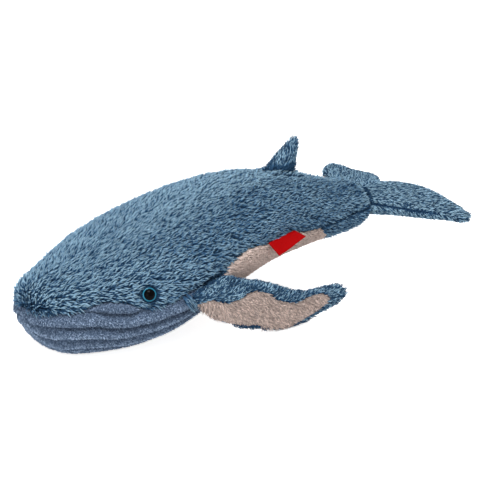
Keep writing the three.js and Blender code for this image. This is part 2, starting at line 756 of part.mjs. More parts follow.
function addFlukes(keepOut) {
  const pivot = new THREE.Vector3(bodyLength, 0, tailEndLevel);
  const axis = new THREE.Vector3(0, 1, 0);
  const clear = (solid) => clearedThroughSwing(solid, keepOut, pivot, axis, -flukeSwing, flukeSwing);
  const shell = clear(flukeLoft(0)).subtract(flukeLoft(finCoverThickness));
  const filling = clear(flukeLoft(finCoverThickness + seamGap));
  const leftRoom = block(
    new THREE.Vector3(bodyLength, -flukeSpan, 0),
    new THREE.Vector3(bodyLength + 2 * flukeLength, -seamGap / 2, bodyHeight),
  );
  addPiece("flukes_upper_cover", shell.intersect(flukeSide(1)), furBlue);
  addPiece("flukes_lower_cover", shell.intersect(flukeSide(-1)), furBlue);
  addPair("fluke_wadding", filling.intersect(leftRoom), fillWhite);
}

function addBackFin(keepOut) {
  const clear = (solid) => clearedThroughSwing(
    solid, keepOut, backFinFront, backFinAxis, -backFinLean, backFinLean,
  );
  const shell = clear(backFinLoft(0)).subtract(backFinLoft(backFinCoverThickness));
  const leftRoom = block(
    new THREE.Vector3(0, -backFinHeight, 0),
    new THREE.Vector3(tailEnd, -seamGap / 2, 2 * bodyHeight),
  );
  addPair("back_fin_cover", shell.intersect(leftRoom), furBlue);
  addPiece("back_fin_wadding", clear(backFinLoft(backFinCoverThickness + seamGap)), fillWhite);
}

function addLabel(keepOut) {
  const sheet = labelSheet();
  addPiece("seam_label", clearedThroughSwing(
    sheet, keepOut, labelFront, labelAxis, -labelSwing, labelSwing,
  ), labelRed);
}

const bodyAndMargin = bodyLoft(-seamGap);
addBody();
addEyes();
addSideFins(bodyLoft(-finRootGap));
addFlukes(bodyAndMargin);
addBackFin(bodyAndMargin);
addLabel(bodyAndMargin);

const reach = new THREE.Box3().setFromObject(whale);
whale.position.x = -(reach.min.x + reach.max.x) / 2;
whale.updateMatrixWorld(true);

export default whale;
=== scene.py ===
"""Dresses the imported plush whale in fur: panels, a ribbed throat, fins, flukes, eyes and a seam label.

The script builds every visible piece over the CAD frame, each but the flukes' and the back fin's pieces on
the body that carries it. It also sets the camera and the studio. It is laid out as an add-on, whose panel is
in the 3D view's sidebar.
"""

import copy
import functools
import math
import typing

import bpy
import numpy as np
from mathutils import Matrix, Vector


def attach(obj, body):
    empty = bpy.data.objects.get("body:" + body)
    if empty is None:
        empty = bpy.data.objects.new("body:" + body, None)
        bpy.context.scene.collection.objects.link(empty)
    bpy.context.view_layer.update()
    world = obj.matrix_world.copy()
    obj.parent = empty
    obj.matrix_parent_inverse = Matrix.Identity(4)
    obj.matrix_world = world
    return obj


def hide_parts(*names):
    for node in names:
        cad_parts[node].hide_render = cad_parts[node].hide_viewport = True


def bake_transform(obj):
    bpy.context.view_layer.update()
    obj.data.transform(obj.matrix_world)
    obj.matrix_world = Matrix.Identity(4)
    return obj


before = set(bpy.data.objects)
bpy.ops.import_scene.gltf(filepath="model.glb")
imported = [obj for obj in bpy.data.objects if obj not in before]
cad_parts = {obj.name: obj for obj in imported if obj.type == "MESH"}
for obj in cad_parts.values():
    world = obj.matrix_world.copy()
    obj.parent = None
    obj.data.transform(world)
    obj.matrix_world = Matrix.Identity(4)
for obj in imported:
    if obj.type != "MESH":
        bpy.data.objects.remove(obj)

bl_info = {
    "name": "Plush whale",
    "version": (1, 0, 0),
    "blender": (4, 5, 0),
    "location": "View3D > Sidebar > Whale",
    "description": "Builds the plush whale's fur, throat, fins, flukes, eyes and label",
    "category": "Object",
}

# The frame's x = 0 is the whale's middle. Shapes are written from the snout, and this moves them there.
SNOUT_SHIFT = -0.2353524
GROUND_CUT = 0.0005  # depth of the flats that the whale rests on

# Body, from the snout to the round end of the tail stock. Shares are of the length, width and height.
BODY_LENGTH = 0.375
BODY_WIDTH = 0.172
BODY_HEIGHT = 0.136
NOSE_BULGE = 0.004
TAIL_END_RADIUS = 0.027
BODY_STATIONS = (0, 0.04, 0.136, 0.284, 0.477, 0.658, 0.84, 1)
BODY_HALF_WIDTHS = (0.132, 0.25, 0.391, 0.502, 0.456, 0.366, 0.263, 0.177)
BODY_TOPS = (0.553, 0.585, 0.692, 0.82, 0.957, 0.998, 0.902, 0.768)
BODY_BOTTOMS = (0.238, 0.092, 0.024, 0.051, 0.201, 0.312, 0.343, 0.371)
SECTION_ROUNDNESS = 0.9
WIDEST_LEVEL = 0.45

SEAM_STATIONS = (
    0, 0.027, 0.075, 0.101, 0.131, 0.157, 0.187, 0.208, 0.237, 0.269, 0.312, 0.35, 0.4, 0.443,
    0.464, 0.5, 0.53, 0.56, 0.597, 0.66, 0.717, 0.763, 0.84, 0.925, 1.07,
)
SEAM_HEIGHTS = (
    0.368, 0.395, 0.419, 0.446, 0.467, 0.469, 0.443, 0.413, 0.407, 0.426, 0.449, 0.482, 0.51, 0.535,
    0.56, 0.596, 0.622, 0.625, 0.607, 0.603, 0.617, 0.571, 0.537, 0.537, 0.54,
)
LIP_STATIONS = (0, 0.075, 0.1, 0.142, 0.179, 0.204, 0.237, 0.32)
LIP_DROPS = (0.006, 0.006, 0.022, 0.073, 0.062, 0.016, 0.006, 0.006)
LEAST_LIP_DROP = 0.005
THROAT_END_LEVELS = (-0.1, 0.08, 0.2, 0.3, 0.36, 0.4, 0.45, 0.6)
THROAT_END_STATIONS = (0.452, 0.43, 0.39, 0.352, 0.34, 0.328, 0.316, 0.3)
BELLY_END_LEVELS = (0.2, 0.35, 0.44, 0.51, 0.6)
BELLY_END_STATIONS = (0.915, 0.9, 0.878, 0.853, 0.845)

# The upper three channels on each side, as shares of the way from the fur's edge to the middle underneath
RIBS_PER_SIDE = 9
CHANNEL_STATIONS = (-0.011, 0, 0.011, 0.021, 0.032, 0.043, 0.059, 0.08, 0.107, 0.147, 0.2, 0.253, 0.307, 0.35)
CHANNELS = (
    (0.5, 0.28, 0.235, 0.2, 0.18, 0.168, 0.162, 0.16, 0.158, 0.143, 0.133, 0.116, 0.126, 0.14),
    (0.8, 0.78, 0.7, 0.54, 0.42, 0.355, 0.32, 0.3, 0.292, 0.269, 0.24, 0.22, 0.215, 0.2),
    (0.9, 0.89, 0.88, 0.86, 0.8, 0.69, 0.53, 0.465, 0.445, 0.41, 0.405, 0.405, 0.385, 0.37),
)
FULL_RIB_WIDTH = 0.009  # a narrower rib has shallower channels beside it
THROAT_OVERLAP = 0.014  # how far the throat's pile reaches back over the belly, behind the fins

# Side fins, placed from the front corner of their root
FIN_ROOT_SHARES = (0.316, 0.438)
FIN_REACH = 0.172
FIN_ROOT_HEIGHT = 0.0687
FIN_FRONT_DROP = 0.011
FIN_OUTER_BULGE = 0.010
FIN_INNER_BULGE = 0.006
FIN_SPREAD = 0.030
FIN_STATIONS = (
    0, 0.045, 0.09, 0.155, 0.26, 0.35, 0.43, 0.5, 0.58, 0.65, 0.71, 0.79, 0.86, 0.92, 0.97, 1,
)
FIN_LOWER_DROPS = (
    0.19, 0.29, 0.415, 0.55, 0.71, 0.82, 0.87, 0.935, 0.975, 1, 0.993, 0.95, 0.89, 0.85, 0.78, 0.66,
)
FIN_UPPER_DROPS = (
    0.16, 0.13, 0.1, 0.055, 0, 0.085, 0.14, 0.195, 0.29, 0.36, 0.41, 0.425, 0.435, 0.425, 0.455, 0.55,
)
FIN_LOWER_OUTS = (
    0.16, 0.25, 0.32, 0.33, 0.36, 0.36, 0.36, 0.33, 0.33, 0.34, 0.38, 0.45, 0.56, 0.7, 0.87, 0.95,
)
FIN_UPPER_OUTS = (
    0.14, 0.11, 0.08, 0.04, 0, 0.12, 0.22, 0.29, 0.4, 0.52, 0.68, 0.7, 0.7, 0.73, 0.8, 0.93,
)
FIN_SWELLS = (
    0.22, 0.4, 0.6, 0.82, 0.97, 1, 1, 1, 0.98, 0.94, 0.9, 0.86, 0.82, 0.75, 0.55, 0.22,
)
PATCH_STATIONS = (
    0.06, 0.093, 0.13, 0.18, 0.233, 0.273, 0.313, 0.377, 0.433, 0.483, 0.553, 0.607, 0.663, 0.703,
    0.76, 0.823, 0.863, 0.885,
)
PATCH_TOPS = (
    0.3, 0.46, 0.526, 0.49, 0.448, 0.474, 0.565, 0.727, 0.772, 0.772, 0.69, 0.68, 0.69, 0.76,
    0.83, 0.82, 0.75, 0.62,
)
PATCH_RIMS = (
    -0.2, -0.2, -0.15, 0.0, 0.05, 0.075, 0.09, 0.105, 0.11, 0.105, 0.095, 0.1, 0.125, 0.17,
    0.25, 0.31, 0.38, 0.47,
)

# Flukes. Shares run from the middle, and are negative on the left.
FLUKE_SPAN = 0.224
FLUKE_LENGTH = 0.100
FLUKE_RISE = 0.002
FLUKE_DROP = 0.0015
FLUKE_THICKNESS = 0.029
FLUKE_STATIONS = (0, 0.07, 0.2, 0.4, 0.57, 0.76, 0.9, 0.965, 1)
FLUKE_FRONTS = (0.2, 0.22, 0.29, 0.4, 0.48, 0.6, 0.69, 0.74, 0.79)
FLUKE_REARS = (0.72, 0.84, 0.96, 1, 0.97, 0.91, 0.86, 0.83, 0.81)
FLUKE_SWELLS = (0.92, 1, 0.9, 0.7, 0.56, 0.43, 0.36, 0.33, 0.25)
FLUKE_TIP_DROOP = 0.0022
RIGHT_FLUKE_DROOP = 0.004
LEFT_TIP_GAIN, RIGHT_TIP_LOSS = 0.0025, 0.0055

BACK_FIN_SHARES = (0.735, 0.84)
BACK_FIN_HEIGHT = 0.031
BACK_FIN_RAKE = 0.0030
BACK_FIN_THICKNESS = 0.012
BACK_FIN_LEVELS = (-0.3, 0, 0.25, 0.5, 0.75, 0.92, 1)
BACK_FIN_FRONTS = (-0.14, -0.03, 0.18, 0.41, 0.68, 0.88, 0.97)
BACK_FIN_REARS = (1.04, 1, 0.9, 0.9, 0.96, 1.02, 1.03)
BACK_FIN_SWELLS = (1, 1, 0.9, 0.75, 0.58, 0.42, 0.24)
BACK_FIN_FLARE = 0.0045
BACK_FIN_LEAST = 0.005

EYE_STATION = 0.2245
EYE_LEVEL = 0.509
EYE_DEPTH = 0.0006  # how far the dome's and the ring's middles lie under the skin
EYE_TIPS = 0.0061  # how near to an eye's middle the pile's tips may come
EYE_HOLE = 0.0064  # how near its roots may
EYE_EDGE = 0.0062
EYE_SHORT = 0.0085  # within this the pile is short
EYE_SHADOW = 0.009  # and within this it is darker, a painted shadow round the eye, deepest at the eye's edge
EYE_REGION = 0.02
RING_WIRE = 0.0008
WASHER_DEPTH = 0.0092
WASHER_RADIUS = 0.0075
WASHER_THICKNESS = 0.002

LABEL_FRONT = 0.6145
RIBBON_GAP = 0.00012
RIBBON_THICKNESS = 0.00042
RIBBON_STRETCH = 1.08  # the label's mean reach, as a share of the reach that is set
RIBBON_TAPER = 0.16  # how much less that share is at its rear end than at its front end
RIBBON_DROOP, RIBBON_TWIST = 23, -26  # degrees below level, and from end to end

# How far a stuffed form starts under the skin, and the voxel, pressure and travel of its Cloth
BODY_INSET = 0.0054
BELLY_INSET = 0.0022
FIN_INSET = 0.0028
FLUKE_INSET = 0.0030
BACK_FIN_INSET = 0.0024
BODY_STUFFING = {"voxel": 0.0055, "pressure": 4, "cap": 0.0022}
FIN_STUFFING = {"voxel": 0.0042, "pressure": 4, "cap": 0.0014}
BACK_FIN_STUFFING = {"voxel": 0.003, "pressure": 3, "cap": 0.0008}
CLOTH = {
    "quality": 5, "mass": 0.3, "tension_stiffness": 12, "compression_stiffness": 12, "shear_stiffness": 5,
    "bending_stiffness": 0.5, "use_pressure": True, "vertex_group_mass": "held",
}
CLOTH_FRAMES = 20

# How thick the backings are, how far the fillings lie under their forms, and how full each part is
BODY_CLOTH, THROAT_CLOTH, FIN_CLOTH, BACK_FIN_CLOTH = 0.0012, 0.0010, 0.0010, 0.0008
BODY_GAP, FIN_GAP, BACK_FIN_GAP = 0.0022, 0.0014, 0.0011
BODY_FILL, THROAT_FILL, FIN_FILL, BACK_FIN_FILL = 0.8, 0.7, 0.6, 0.5

# Where the flukes and the back fin leave the body and are their own
FLUKE_BEND = (0.018, 0.048)  # behind the body's length
BACK_FIN_BEND = ((0.04027, 0, 0.12877), (0.0430, 0, 0.1404))

# The studio
CAMERA_PLACE = (-0.81565, -1.0763, 0.5525)
CAMERA_TARGET = (0.01098, 0, 0.06019)
CAMERA_LENS, SENSOR_WIDTH = 107.6, 36  # in millimetres
FLOOR_LEVEL = -0.0006
FLOOR_GLOW = 0.86  # what the camera sees of the floor besides its shade, which makes it white
LAMP_TARGET = (0, 0, 0.06)
LAMPS = {  # place, share of the large lamp's power, and size
    "key_lamp": ((-0.45, -0.4, 1.85), 1.0, 1.0),
    "side_lamp": ((-1.5, -0.8, 0.5), 0.23, 1.2),
}

SIDES = {"left": -1, "right": 1}
SPANS = {"head": (-1, 0.13, 24), "flank": (0.13, 0.25, 36), "tail": (0.25, 1, 111)}  # start, end, seed


class Pile(typing.NamedTuple):
    """Short pile: strands to a square millimetre, their size, rise and stray, and the share of pale ones."""

    density: float
    length: float
    width: float
    rise: float
    stray: float = 0.3
    pale: float = 0.4


BELLY_PILE = Pile(0.72, 0.0052, 0.0013, 0.36, 0.25)
THROAT_PILE = Pile(0.75, 0.0024, 0.0019, 0.62, 0.6)
FLUKE_PILE = Pile(1.1, 0.0060, 0.0011, 0.34, 0.2, 0.52)
BACK_FIN_PILE = Pile(1.6, 0.0070, 0.0011, 0.32, 0.24)
LONG_RISE, LONG_STRAY = 0.46, 0.24
TUFT_STRANDS, TUFT_LENGTH, TUFT_WIDTH = 340, 0.0125, 0.0007
TUFT_FRONT = 0.1150  # from the snout
SEEDS = {
    "tuft": 37, "tail_underside": 301, "belly": 401, "throat": 501, "upper": 701, "lower": 711,
    "back_fin": 811,
}

# Colours, as a colour picker shows them
NAVY = (0.020, 0.085, 0.170)
MID_BLUE = (0.255, 0.405, 0.545)
PALE_BLUE = (0.775, 0.925, 1.000)
BEIGE = (0.86, 0.78, 0.745)
THROAT_DARK = (0.10, 0.16, 0.24)
THROAT_PALE = (0.76, 0.85, 0.97)
TEAL = (0.05, 0.41, 0.52)
RED = (0.640, 0.0, 0.008)


def unit(vectors):
    return vectors / np.maximum(np.linalg.norm(vectors, axis=-1, keepdims=True), 1e-12)


def powered(values, power):
    return np.sign(values) * np.abs(values) ** power


def eased(values, start, end):
    """0 up to start and 1 from end, with a smooth change between."""
    share = np.clip((values - start) / (end - start), 0, 1)
    return share * share * (3 - 2 * share)


def near(away, width):
    """1 where nothing is away, and falling to 0 on both sides over about this width."""
    return np.exp(-((away / width) ** 2))


def columns(*values):
    return np.stack(np.broadcast_arrays(*values), axis=1)


def between(first, second, share):
    return tuple(a + (b - a) * share for a, b in zip(first, second))


def scaled(colour, share):
    return tuple(min(c * share, 1) for c in colour)


def track(stations, *values):
    """A smooth line through values given at stations, as the CAD source draws it."""
    at, values = np.array(stations, float), np.array(values, float).T

    def evaluate(share):
        share = np.clip(np.atleast_1d(np.asarray(share, float)), at[0], at[-1])
        after = np.clip(np.searchsorted(at, share, side="right"), 1, len(at) - 1)
        before = after - 1
        low, high = at[before], at[after]
        first, last = before == 0, after == len(at) - 1
        previous = np.where(first, after, before - 1)
        following = np.where(last, before, np.minimum(after + 1, len(at) - 1))
        pull = 0.5 * (high - low) / (low - np.where(first, high, at[previous]))
        push = 0.5 * (high - low) / (np.where(last, low, at[following]) - high)
        p = (share - low) / (high - low)
        weights = (
            -pull * p**3 + 2 * pull * p**2 - pull * p,
            (1 + pull) * p**3 + (-1.5 - 2 * pull) * p**2 + (-0.5 + pull) * p + 1,
            (-1 - push) * p**3 + (1.5 + push) * p**2 + 0.5 * p,
            push * p**3 - push * p**2,
        )
        return sum(w[:, None] * values[i] for w, i in zip(weights, (previous, before, after, following)))

    return evaluate


body_line = track(BODY_STATIONS, BODY_HALF_WIDTHS, BODY_TOPS, BODY_BOTTOMS)
seam_line = track(SEAM_STATIONS, SEAM_HEIGHTS)
lip_line = track(LIP_STATIONS, LIP_DROPS)
throat_end_line = track(THROAT_END_LEVELS, THROAT_END_STATIONS)
belly_end_line = track(BELLY_END_LEVELS, BELLY_END_STATIONS)
fin_line = track(FIN_STATIONS, FIN_LOWER_DROPS, FIN_UPPER_DROPS, FIN_LOWER_OUTS, FIN_UPPER_OUTS, FIN_SWELLS)
patch_line = track(PATCH_STATIONS, PATCH_TOPS, PATCH_RIMS)
channel_line = track(CHANNEL_STATIONS, *CHANNELS)
fluke_line = track(FLUKE_STATIONS, FLUKE_FRONTS, FLUKE_REARS, FLUKE_SWELLS)
back_fin_line = track(BACK_FIN_LEVELS, BACK_FIN_FRONTS, BACK_FIN_REARS, BACK_FIN_SWELLS)

GROUND_SHIFT = body_line(np.linspace(0, 1, 101))[:, 2].min() * BODY_HEIGHT + GROUND_CUT


def level_of(share):
    return share * BODY_HEIGHT - GROUND_SHIFT


TAIL_END_LEVEL = level_of((BODY_TOPS[-1] + BODY_BOTTOMS[-1]) / 2)


def section(x):
    """Half width, top, bottom and widest level of the body's sections at places x."""
    x = np.atleast_1d(np.asarray(x, float))
    width, top, bottom = body_line(np.clip(x / BODY_LENGTH, 0, 1)).T
    half, top, bottom = width * BODY_WIDTH, level_of(top), level_of(bottom)
    nose = np.where(x < 0, np.sqrt(np.maximum(1 - (x / NOSE_BULGE) ** 2, 0)), 1)
    middle = (top + bottom) / 2
    half, top, bottom = half * nose, middle + (top - middle) * nose, middle + (bottom - middle) * nose
    along = np.clip((x - BODY_LENGTH) / TAIL_END_RADIUS, 0, 1)
    rise = TAIL_END_RADIUS * np.sqrt(1 - along**2)
    half = half * (1 - along**4) ** 0.25
    top = np.where(x > BODY_LENGTH, TAIL_END_LEVEL + rise, top)
    bottom = np.where(x > BODY_LENGTH, TAIL_END_LEVEL - rise, bottom)
    return half, top, bottom, bottom + (top - bottom) * WIDEST_LEVEL


def skin_points(x, angles, inset=0.0):
    """Points on the body's skin. An angle runs from the left side over the top, or under it if negative."""
    half, top, bottom, level = section(x)
    half = np.maximum(half - inset, half * 0.3)
    rise = np.where(np.sin(angles) > 0, top - level, level - bottom)
    height = np.maximum(rise - inset, rise * 0.3)
    across = powered(np.cos(angles), SECTION_ROUNDNESS)
    up = powered(np.sin(angles), SECTION_ROUNDNESS)
    return np.stack(np.broadcast_arrays(x, -half * across, level + height * up), axis=-1)


def angle_at_level(x, height):
    _, top, bottom, level = section(x)
    reach = np.where(height > level, top - level, level - bottom)
    share = np.clip((height - level) / np.maximum(reach, 1e-9), -1, 1)
    return np.arcsin(powered(share, 1 / SECTION_ROUNDNESS))


def seam_level(x):
    return level_of(seam_line(np.asarray(x) / BODY_LENGTH)[:, 0])


def over_seam(p):
    return p[:, 2] - seam_level(p[:, 0])


def rib_top_level(x):
    drop = np.maximum(lip_line(np.asarray(x) / BODY_LENGTH)[:, 0], LEAST_LIP_DROP)
    return seam_level(x) - BODY_HEIGHT * drop


def throat_end(z):
    return throat_end_line((z + GROUND_SHIFT) / BODY_HEIGHT)[:, 0] * BODY_LENGTH


def belly_end(z):
    return belly_end_line((z + GROUND_SHIFT) / BODY_HEIGHT)[:, 0] * BODY_LENGTH


def top_of_back(share):
    x = share * BODY_LENGTH
    return np.array([x, 0, section(x)[1][0]])


BACK_FIN_FOOT = top_of_back(sum(BACK_FIN_SHARES) / 2)


def drift(points, size, seed):
    """Smooth waves between about -1 and 1 that change over the given distance."""
    rng = np.random.default_rng(seed)
    waves = unit(rng.normal(size=(7, 3))) * rng.uniform(0.7, 1.5, (7, 1)) * 2 * math.pi / size
    return np.sin(points @ waves.T + rng.uniform(0, 2 * math.pi, 7)).mean(axis=1) * 1.8


# Meshes


class Form:
    """A surface that covers are cut from and pile grows on: points with normals, and faces."""

    def __init__(self, obj, values=None):
        mesh = obj.data
        points, normals = np.zeros(len(mesh.vertices) * 3), np.zeros(len(mesh.vertices) * 3)
        mesh.vertices.foreach_get("co", points)
        mesh.vertex_normals.foreach_get("vector", normals)
        mesh.calc_loop_triangles()
        triangles = np.zeros(len(mesh.loop_triangles) * 3, np.int32)
        mesh.loop_triangles.foreach_get("vertices", triangles)
        self.points = points.reshape(-1, 3) - (SNOUT_SHIFT, 0, 0)
        self.normals = normals.reshape(-1, 3)
        self.triangles = triangles.reshape(-1, 3)
        self.faces = [tuple(p.vertices) for p in mesh.polygons]
        self.values = np.zeros(len(self.points)) if values is None else values

    def mirrored(self):
        other = copy.copy(self)
        other.points, other.normals = self.points * (1, -1, 1), self.normals * (1, -1, 1)
        other.triangles = self.triangles[:, ::-1]
        other.faces = [tuple(reversed(face)) for face in self.faces]
        return other


def object_of(name, points, faces, uv=None):
    """An object at the origin with this mesh, whose points are given from the snout."""
    mesh = bpy.data.meshes.new(name)
    points = np.asarray(points, float) + (SNOUT_SHIFT, 0, 0)
    if isinstance(faces, np.ndarray):
        count, corners = faces.shape
        mesh.vertices.add(len(points))
        mesh.vertices.foreach_set("co", points.astype(np.float32).ravel())
        mesh.loops.add(count * corners)
        mesh.loops.foreach_set("vertex_index", faces.astype(np.int32).ravel())
        mesh.polygons.add(count)
        mesh.polygons.foreach_set("loop_start", np.arange(0, count * corners, corners, dtype=np.int32))
        mesh.update(calc_edges=True)
    else:
        mesh.from_pydata([tuple(p) for p in points], [], faces)
    if uv is not None:
        layer = mesh.uv_layers.new(name="OFBake")
        layer.data.foreach_set("uv", uv.astype(np.float32).ravel())
    mesh.validate()
    mesh.shade_smooth()
    obj = bpy.data.objects.new(name, mesh)
    bpy.context.scene.collection.objects.link(obj)
    return obj


def only(obj):
    """Selects this object alone and makes it active."""
    bpy.ops.object.select_all(action="DESELECT")
    obj.select_set(True)
    bpy.context.view_layer.objects.active = obj


def apply_modifier(obj, kind, **options):
    only(obj)
    modifier = obj.modifiers.new(kind.title(), kind)
    for key, value in options.items():
        setattr(modifier, key, value)
    bpy.ops.object.modifier_apply(modifier=modifier.name)


def grid_faces(rows, across, around=False):
    """Faces of a grid of points, row by row. A grid that goes around joins each row's end to its start."""
    faces = []
    for row in range(rows - 1):
        for i in range(across if around else across - 1):
            a, b = row * across + i, row * across + (i + 1) % across
            faces.append((a, b, b + across, a + across))
    return faces


def tube(rings):
    """A closed skin through rings of points, with a pole at each end."""
    count, around = rings.shape[:2]
    points = np.concatenate([rings.reshape(-1, 3), rings[:1].mean(axis=1), rings[-1:].mean(axis=1)])
    faces, last = grid_faces(count, around, True), (count - 1) * around
    for i in range(around):
        j = (i + 1) % around
        faces += [(count * around, j, i), (count * around + 1, last + i, last + j)]
    return points, faces


def faced_outwards(obj):
    only(obj)
    bpy.ops.object.mode_set(mode="EDIT")
    bpy.ops.mesh.select_all(action="SELECT")
    bpy.ops.mesh.normals_make_consistent(inside=False)
    bpy.ops.object.mode_set(mode="OBJECT")


def blown(obj, pressure):
    """Where Blender's Cloth takes an object's points under pressure."""
    modifier = obj.modifiers.new("Cloth", "CLOTH")
    for key, value in CLOTH.items():
        setattr(modifier.settings, key, value)
    modifier.settings.uniform_pressure_force = pressure
    modifier.settings.effector_weights.gravity = 0
    scene = bpy.context.scene
    for number in range(1, CLOTH_FRAMES + 1):
        scene.frame_set(number)
    seen = obj.evaluated_get(bpy.context.evaluated_depsgraph_get())
    found = np.zeros(len(seen.data.vertices) * 3)
    seen.data.vertices.foreach_get("co", found)
    obj.modifiers.remove(modifier)
    scene.frame_set(1)
    return found.reshape(-1, 3) - (SNOUT_SHIFT, 0, 0)


def plumped(name, rings, pins, voxel, pressure, cap):
    """A stuffed form: a skin through rings, remeshed and blown up by Cloth, and held where it is pinned."""
    obj = object_of(name, *tube(np.array(rings)))
    faced_outwards(obj)
    apply_modifier(obj, "REMESH", mode="VOXEL", voxel_size=voxel, use_smooth_shade=True)
    bare = Form(obj)
    held = np.clip(pins(bare.points), 0, 1)
    group = obj.vertex_groups.new(name="held")
    for index, weight in enumerate(held):
        group.add([index], float(weight), "REPLACE")
    moved = blown(obj, pressure)
    travel = moved - bare.points
    travel *= np.minimum(1, cap / np.maximum(np.linalg.norm(travel, axis=1), 1e-9))[:, None]
    coords = (bare.points + travel + (SNOUT_SHIFT, 0, 0)).astype(np.float32)
    obj.data.vertices.foreach_set("co", coords.ravel())
    obj.data.update()
    obj.vertex_groups.clear()
    apply_modifier(obj, "SUBSURF", levels=1, render_levels=1)
    obj.data.shade_smooth()
    form = Form(obj)
    bpy.data.objects.remove(obj)
    return form


def patch_of(name, form, mask, thickness, finish):
    """The faces of a form whose middles pass the mask, as a closed layer that reaches inwards."""
    points = form.points
    middles = np.array([points[list(face)].mean(axis=0) for face in form.faces])
    kept = [form.faces[i] for i in np.flatnonzero(mask(middles))]
    used = sorted({i for face in kept for i in face})
    number = {old: new for new, old in enumerate(used)}
    obj = object_of(name, points[used], [tuple(number[i] for i in face) for face in kept])
    apply_modifier(obj, "SOLIDIFY", thickness=thickness, offset=-1)
    obj.data.materials.append(finish)
    return obj


def filling_of(name, form, inset):
    """A form's filling, drawn in under its covers."""
    obj = object_of(name, form.points - form.normals * inset, form.faces)
    obj.data.materials.append(cloth_finish("fibre_filling", (0.82, 0.81, 0.77), (0.93, 0.92, 0.89), 0.002))
    return obj


def placed(obj, body, slot, *nodes, fill=None, bend=None):
    """Sets a piece on its body in place of CAD nodes, which it hides. With a bend, it stays in the world's
    frame, on no body.
    """
    if bend:
        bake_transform(obj)
    else:
        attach(obj, body)
    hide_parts(*nodes)


def anywhere(p):
    return np.ones(len(p), bool)


def on_side(mask, sign):
    """The part of a mask that lies on one side of the whale's middle."""
    def part(p):
        return mask(p) & (p[:, 1] * sign > 0)

    return part


def within(mask, start, end):
    """The part of a mask between two distances from the snout."""
    def part(p):
        return mask(p) & (p[:, 0] >= start) & (p[:, 0] < end)

    return part


def turned(field, sign):
    """What a field written for the left fin says of points on the given side."""
    def read(p):
        return field(p * (1, -sign, 1))

    return read


# Pile


def scattered(form, mask, per_square_mm, seed):
    """Roots spread evenly over the part of a form that passes the mask, with the normals and values there."""
    triangles, corners = form.triangles, form.points[form.triangles]
    kept = mask(corners.mean(axis=1))
    triangles, corners = triangles[kept], corners[kept]
    areas = np.linalg.norm(np.cross(corners[:, 1] - corners[:, 0], corners[:, 2] - corners[:, 0]), axis=1) / 2
    rng = np.random.default_rng(seed)
    count = int(areas.sum() * 1e6 * per_square_mm)
    steps = (np.arange(count) + rng.random(count)) / count * areas.sum()
    chosen = np.minimum(np.searchsorted(np.cumsum(areas), steps), len(areas) - 1)
    a, b = rng.random((2, count))
    a, b = np.where(a + b > 1, 1 - a, a), np.where(a + b > 1, 1 - b, b)
    weights = columns(1 - a - b, a, b)
    roots = (corners[chosen] * weights[:, :, None]).sum(axis=1)
    normals = unit((form.normals[triangles[chosen]] * weights[:, :, None]).sum(axis=1))
    return roots, normals, (form.values[triangles[chosen]] * weights).sum(axis=1)


def laid(normals, wanted, turn, rise):
    """The wanted ways laid on the surface and turned about the normal, and each strand's rise off it.

    A strand rises more where its way points out of the surface, as at a form's end.
    """
    wanted = unit(wanted)
    out = (wanted * normals).sum(axis=1)
    along = unit(wanted - normals * out[:, None])
    along = along * np.cos(turn)[:, None] + np.cross(normals, along) * np.sin(turn)[:, None]
    return along, np.clip(rise + np.maximum(out, 0) ** 1.5 * (0.95 - rise), 0.12, 0.95)


def strand_object(name, points, pattern, upward, tone, finish):
    """Closed strands of one pattern, with none of them below the ground.

    The OFBake map holds each strand's tone across and the way from its root to its tip upwards.
    """
    first = points[0]
    if sum(np.dot(first[a], np.cross(first[b], first[c])) for a, b, c in pattern) < 0:
        pattern = pattern[:, ::-1]
    count, corners = points.shape[:2]
    faces = (pattern[None] + corners * np.arange(count)[:, None, None]).reshape(-1, 3)
    across = np.clip(tone, 0.03, 0.97)[:, None] + np.resize((-0.012, 0.012, 0.0), corners)
    uv = np.stack([across, np.broadcast_to(upward, across.shape)], axis=2).reshape(-1, 2)[faces.ravel()]
    points = points.reshape(-1, 3)
    points[:, 2] = np.maximum(points[:, 2], 0)
    obj = object_of(name, points, faces, uv)
    obj.data.materials.append(finish)
    return obj


def strands(name, roots, normals, along, length, width, rise, tone, bend, finish):
    """Curved strands of three sides, in two lengths each."""
    side = np.cross(normals, along)
    flat = np.sqrt(1 - rise**2)

    def centre(t):
        up = length * rise * (1 - (1 - t) ** 2) - 0.0006
        run = length * flat * (0.4 * t + 0.6 * t * t)
        return roots + normals * up[:, None] + along * run[:, None] + side * (length * bend * t * t)[:, None]

    rings = []
    for t, share in ((0.0, 0.85), (0.52, 1.0)):
        heading = unit(centre(t + 0.05) - centre(t - 0.05 if t else t))
        over = unit(np.cross(heading, side))
        middle, half = centre(t), (width * share / 2)[:, None]
        rings.append([middle - side * half, middle + side * half, middle + over * half * 0.9])
    points = np.stack([*rings[0], *rings[1], centre(1.0)], axis=1)
    pattern = np.array([
        (0, 1, 4), (0, 4, 3), (1, 2, 5), (1, 5, 4), (2, 0, 3), (2, 3, 5),
        (3, 4, 6), (4, 5, 6), (5, 3, 6), (0, 2, 1),
    ])
    return strand_object(name, points, pattern, (0.02, 0.02, 0.05, 0.5, 0.5, 0.54, 0.98), tone, finish)


def velvet(name, roots, normals, along, length, width, rise, tone, finish):
    """Short straight strands of three sides."""
    side = np.cross(normals, along) * (width / 2)[:, None]
    base = roots - normals * 0.0004
    tip = roots + normals * (length * rise)[:, None] + along * (length * np.sqrt(1 - rise**2))[:, None]
    points = np.stack([base - side, base + side, base + normals * (width * 0.6)[:, None], tip], axis=1)
    pattern = np.array([(0, 1, 3), (1, 2, 3), (2, 0, 3), (0, 2, 1)])
    return strand_object(name, points, pattern, (0.05, 0.05, 0.25, 0.95), tone, finish)


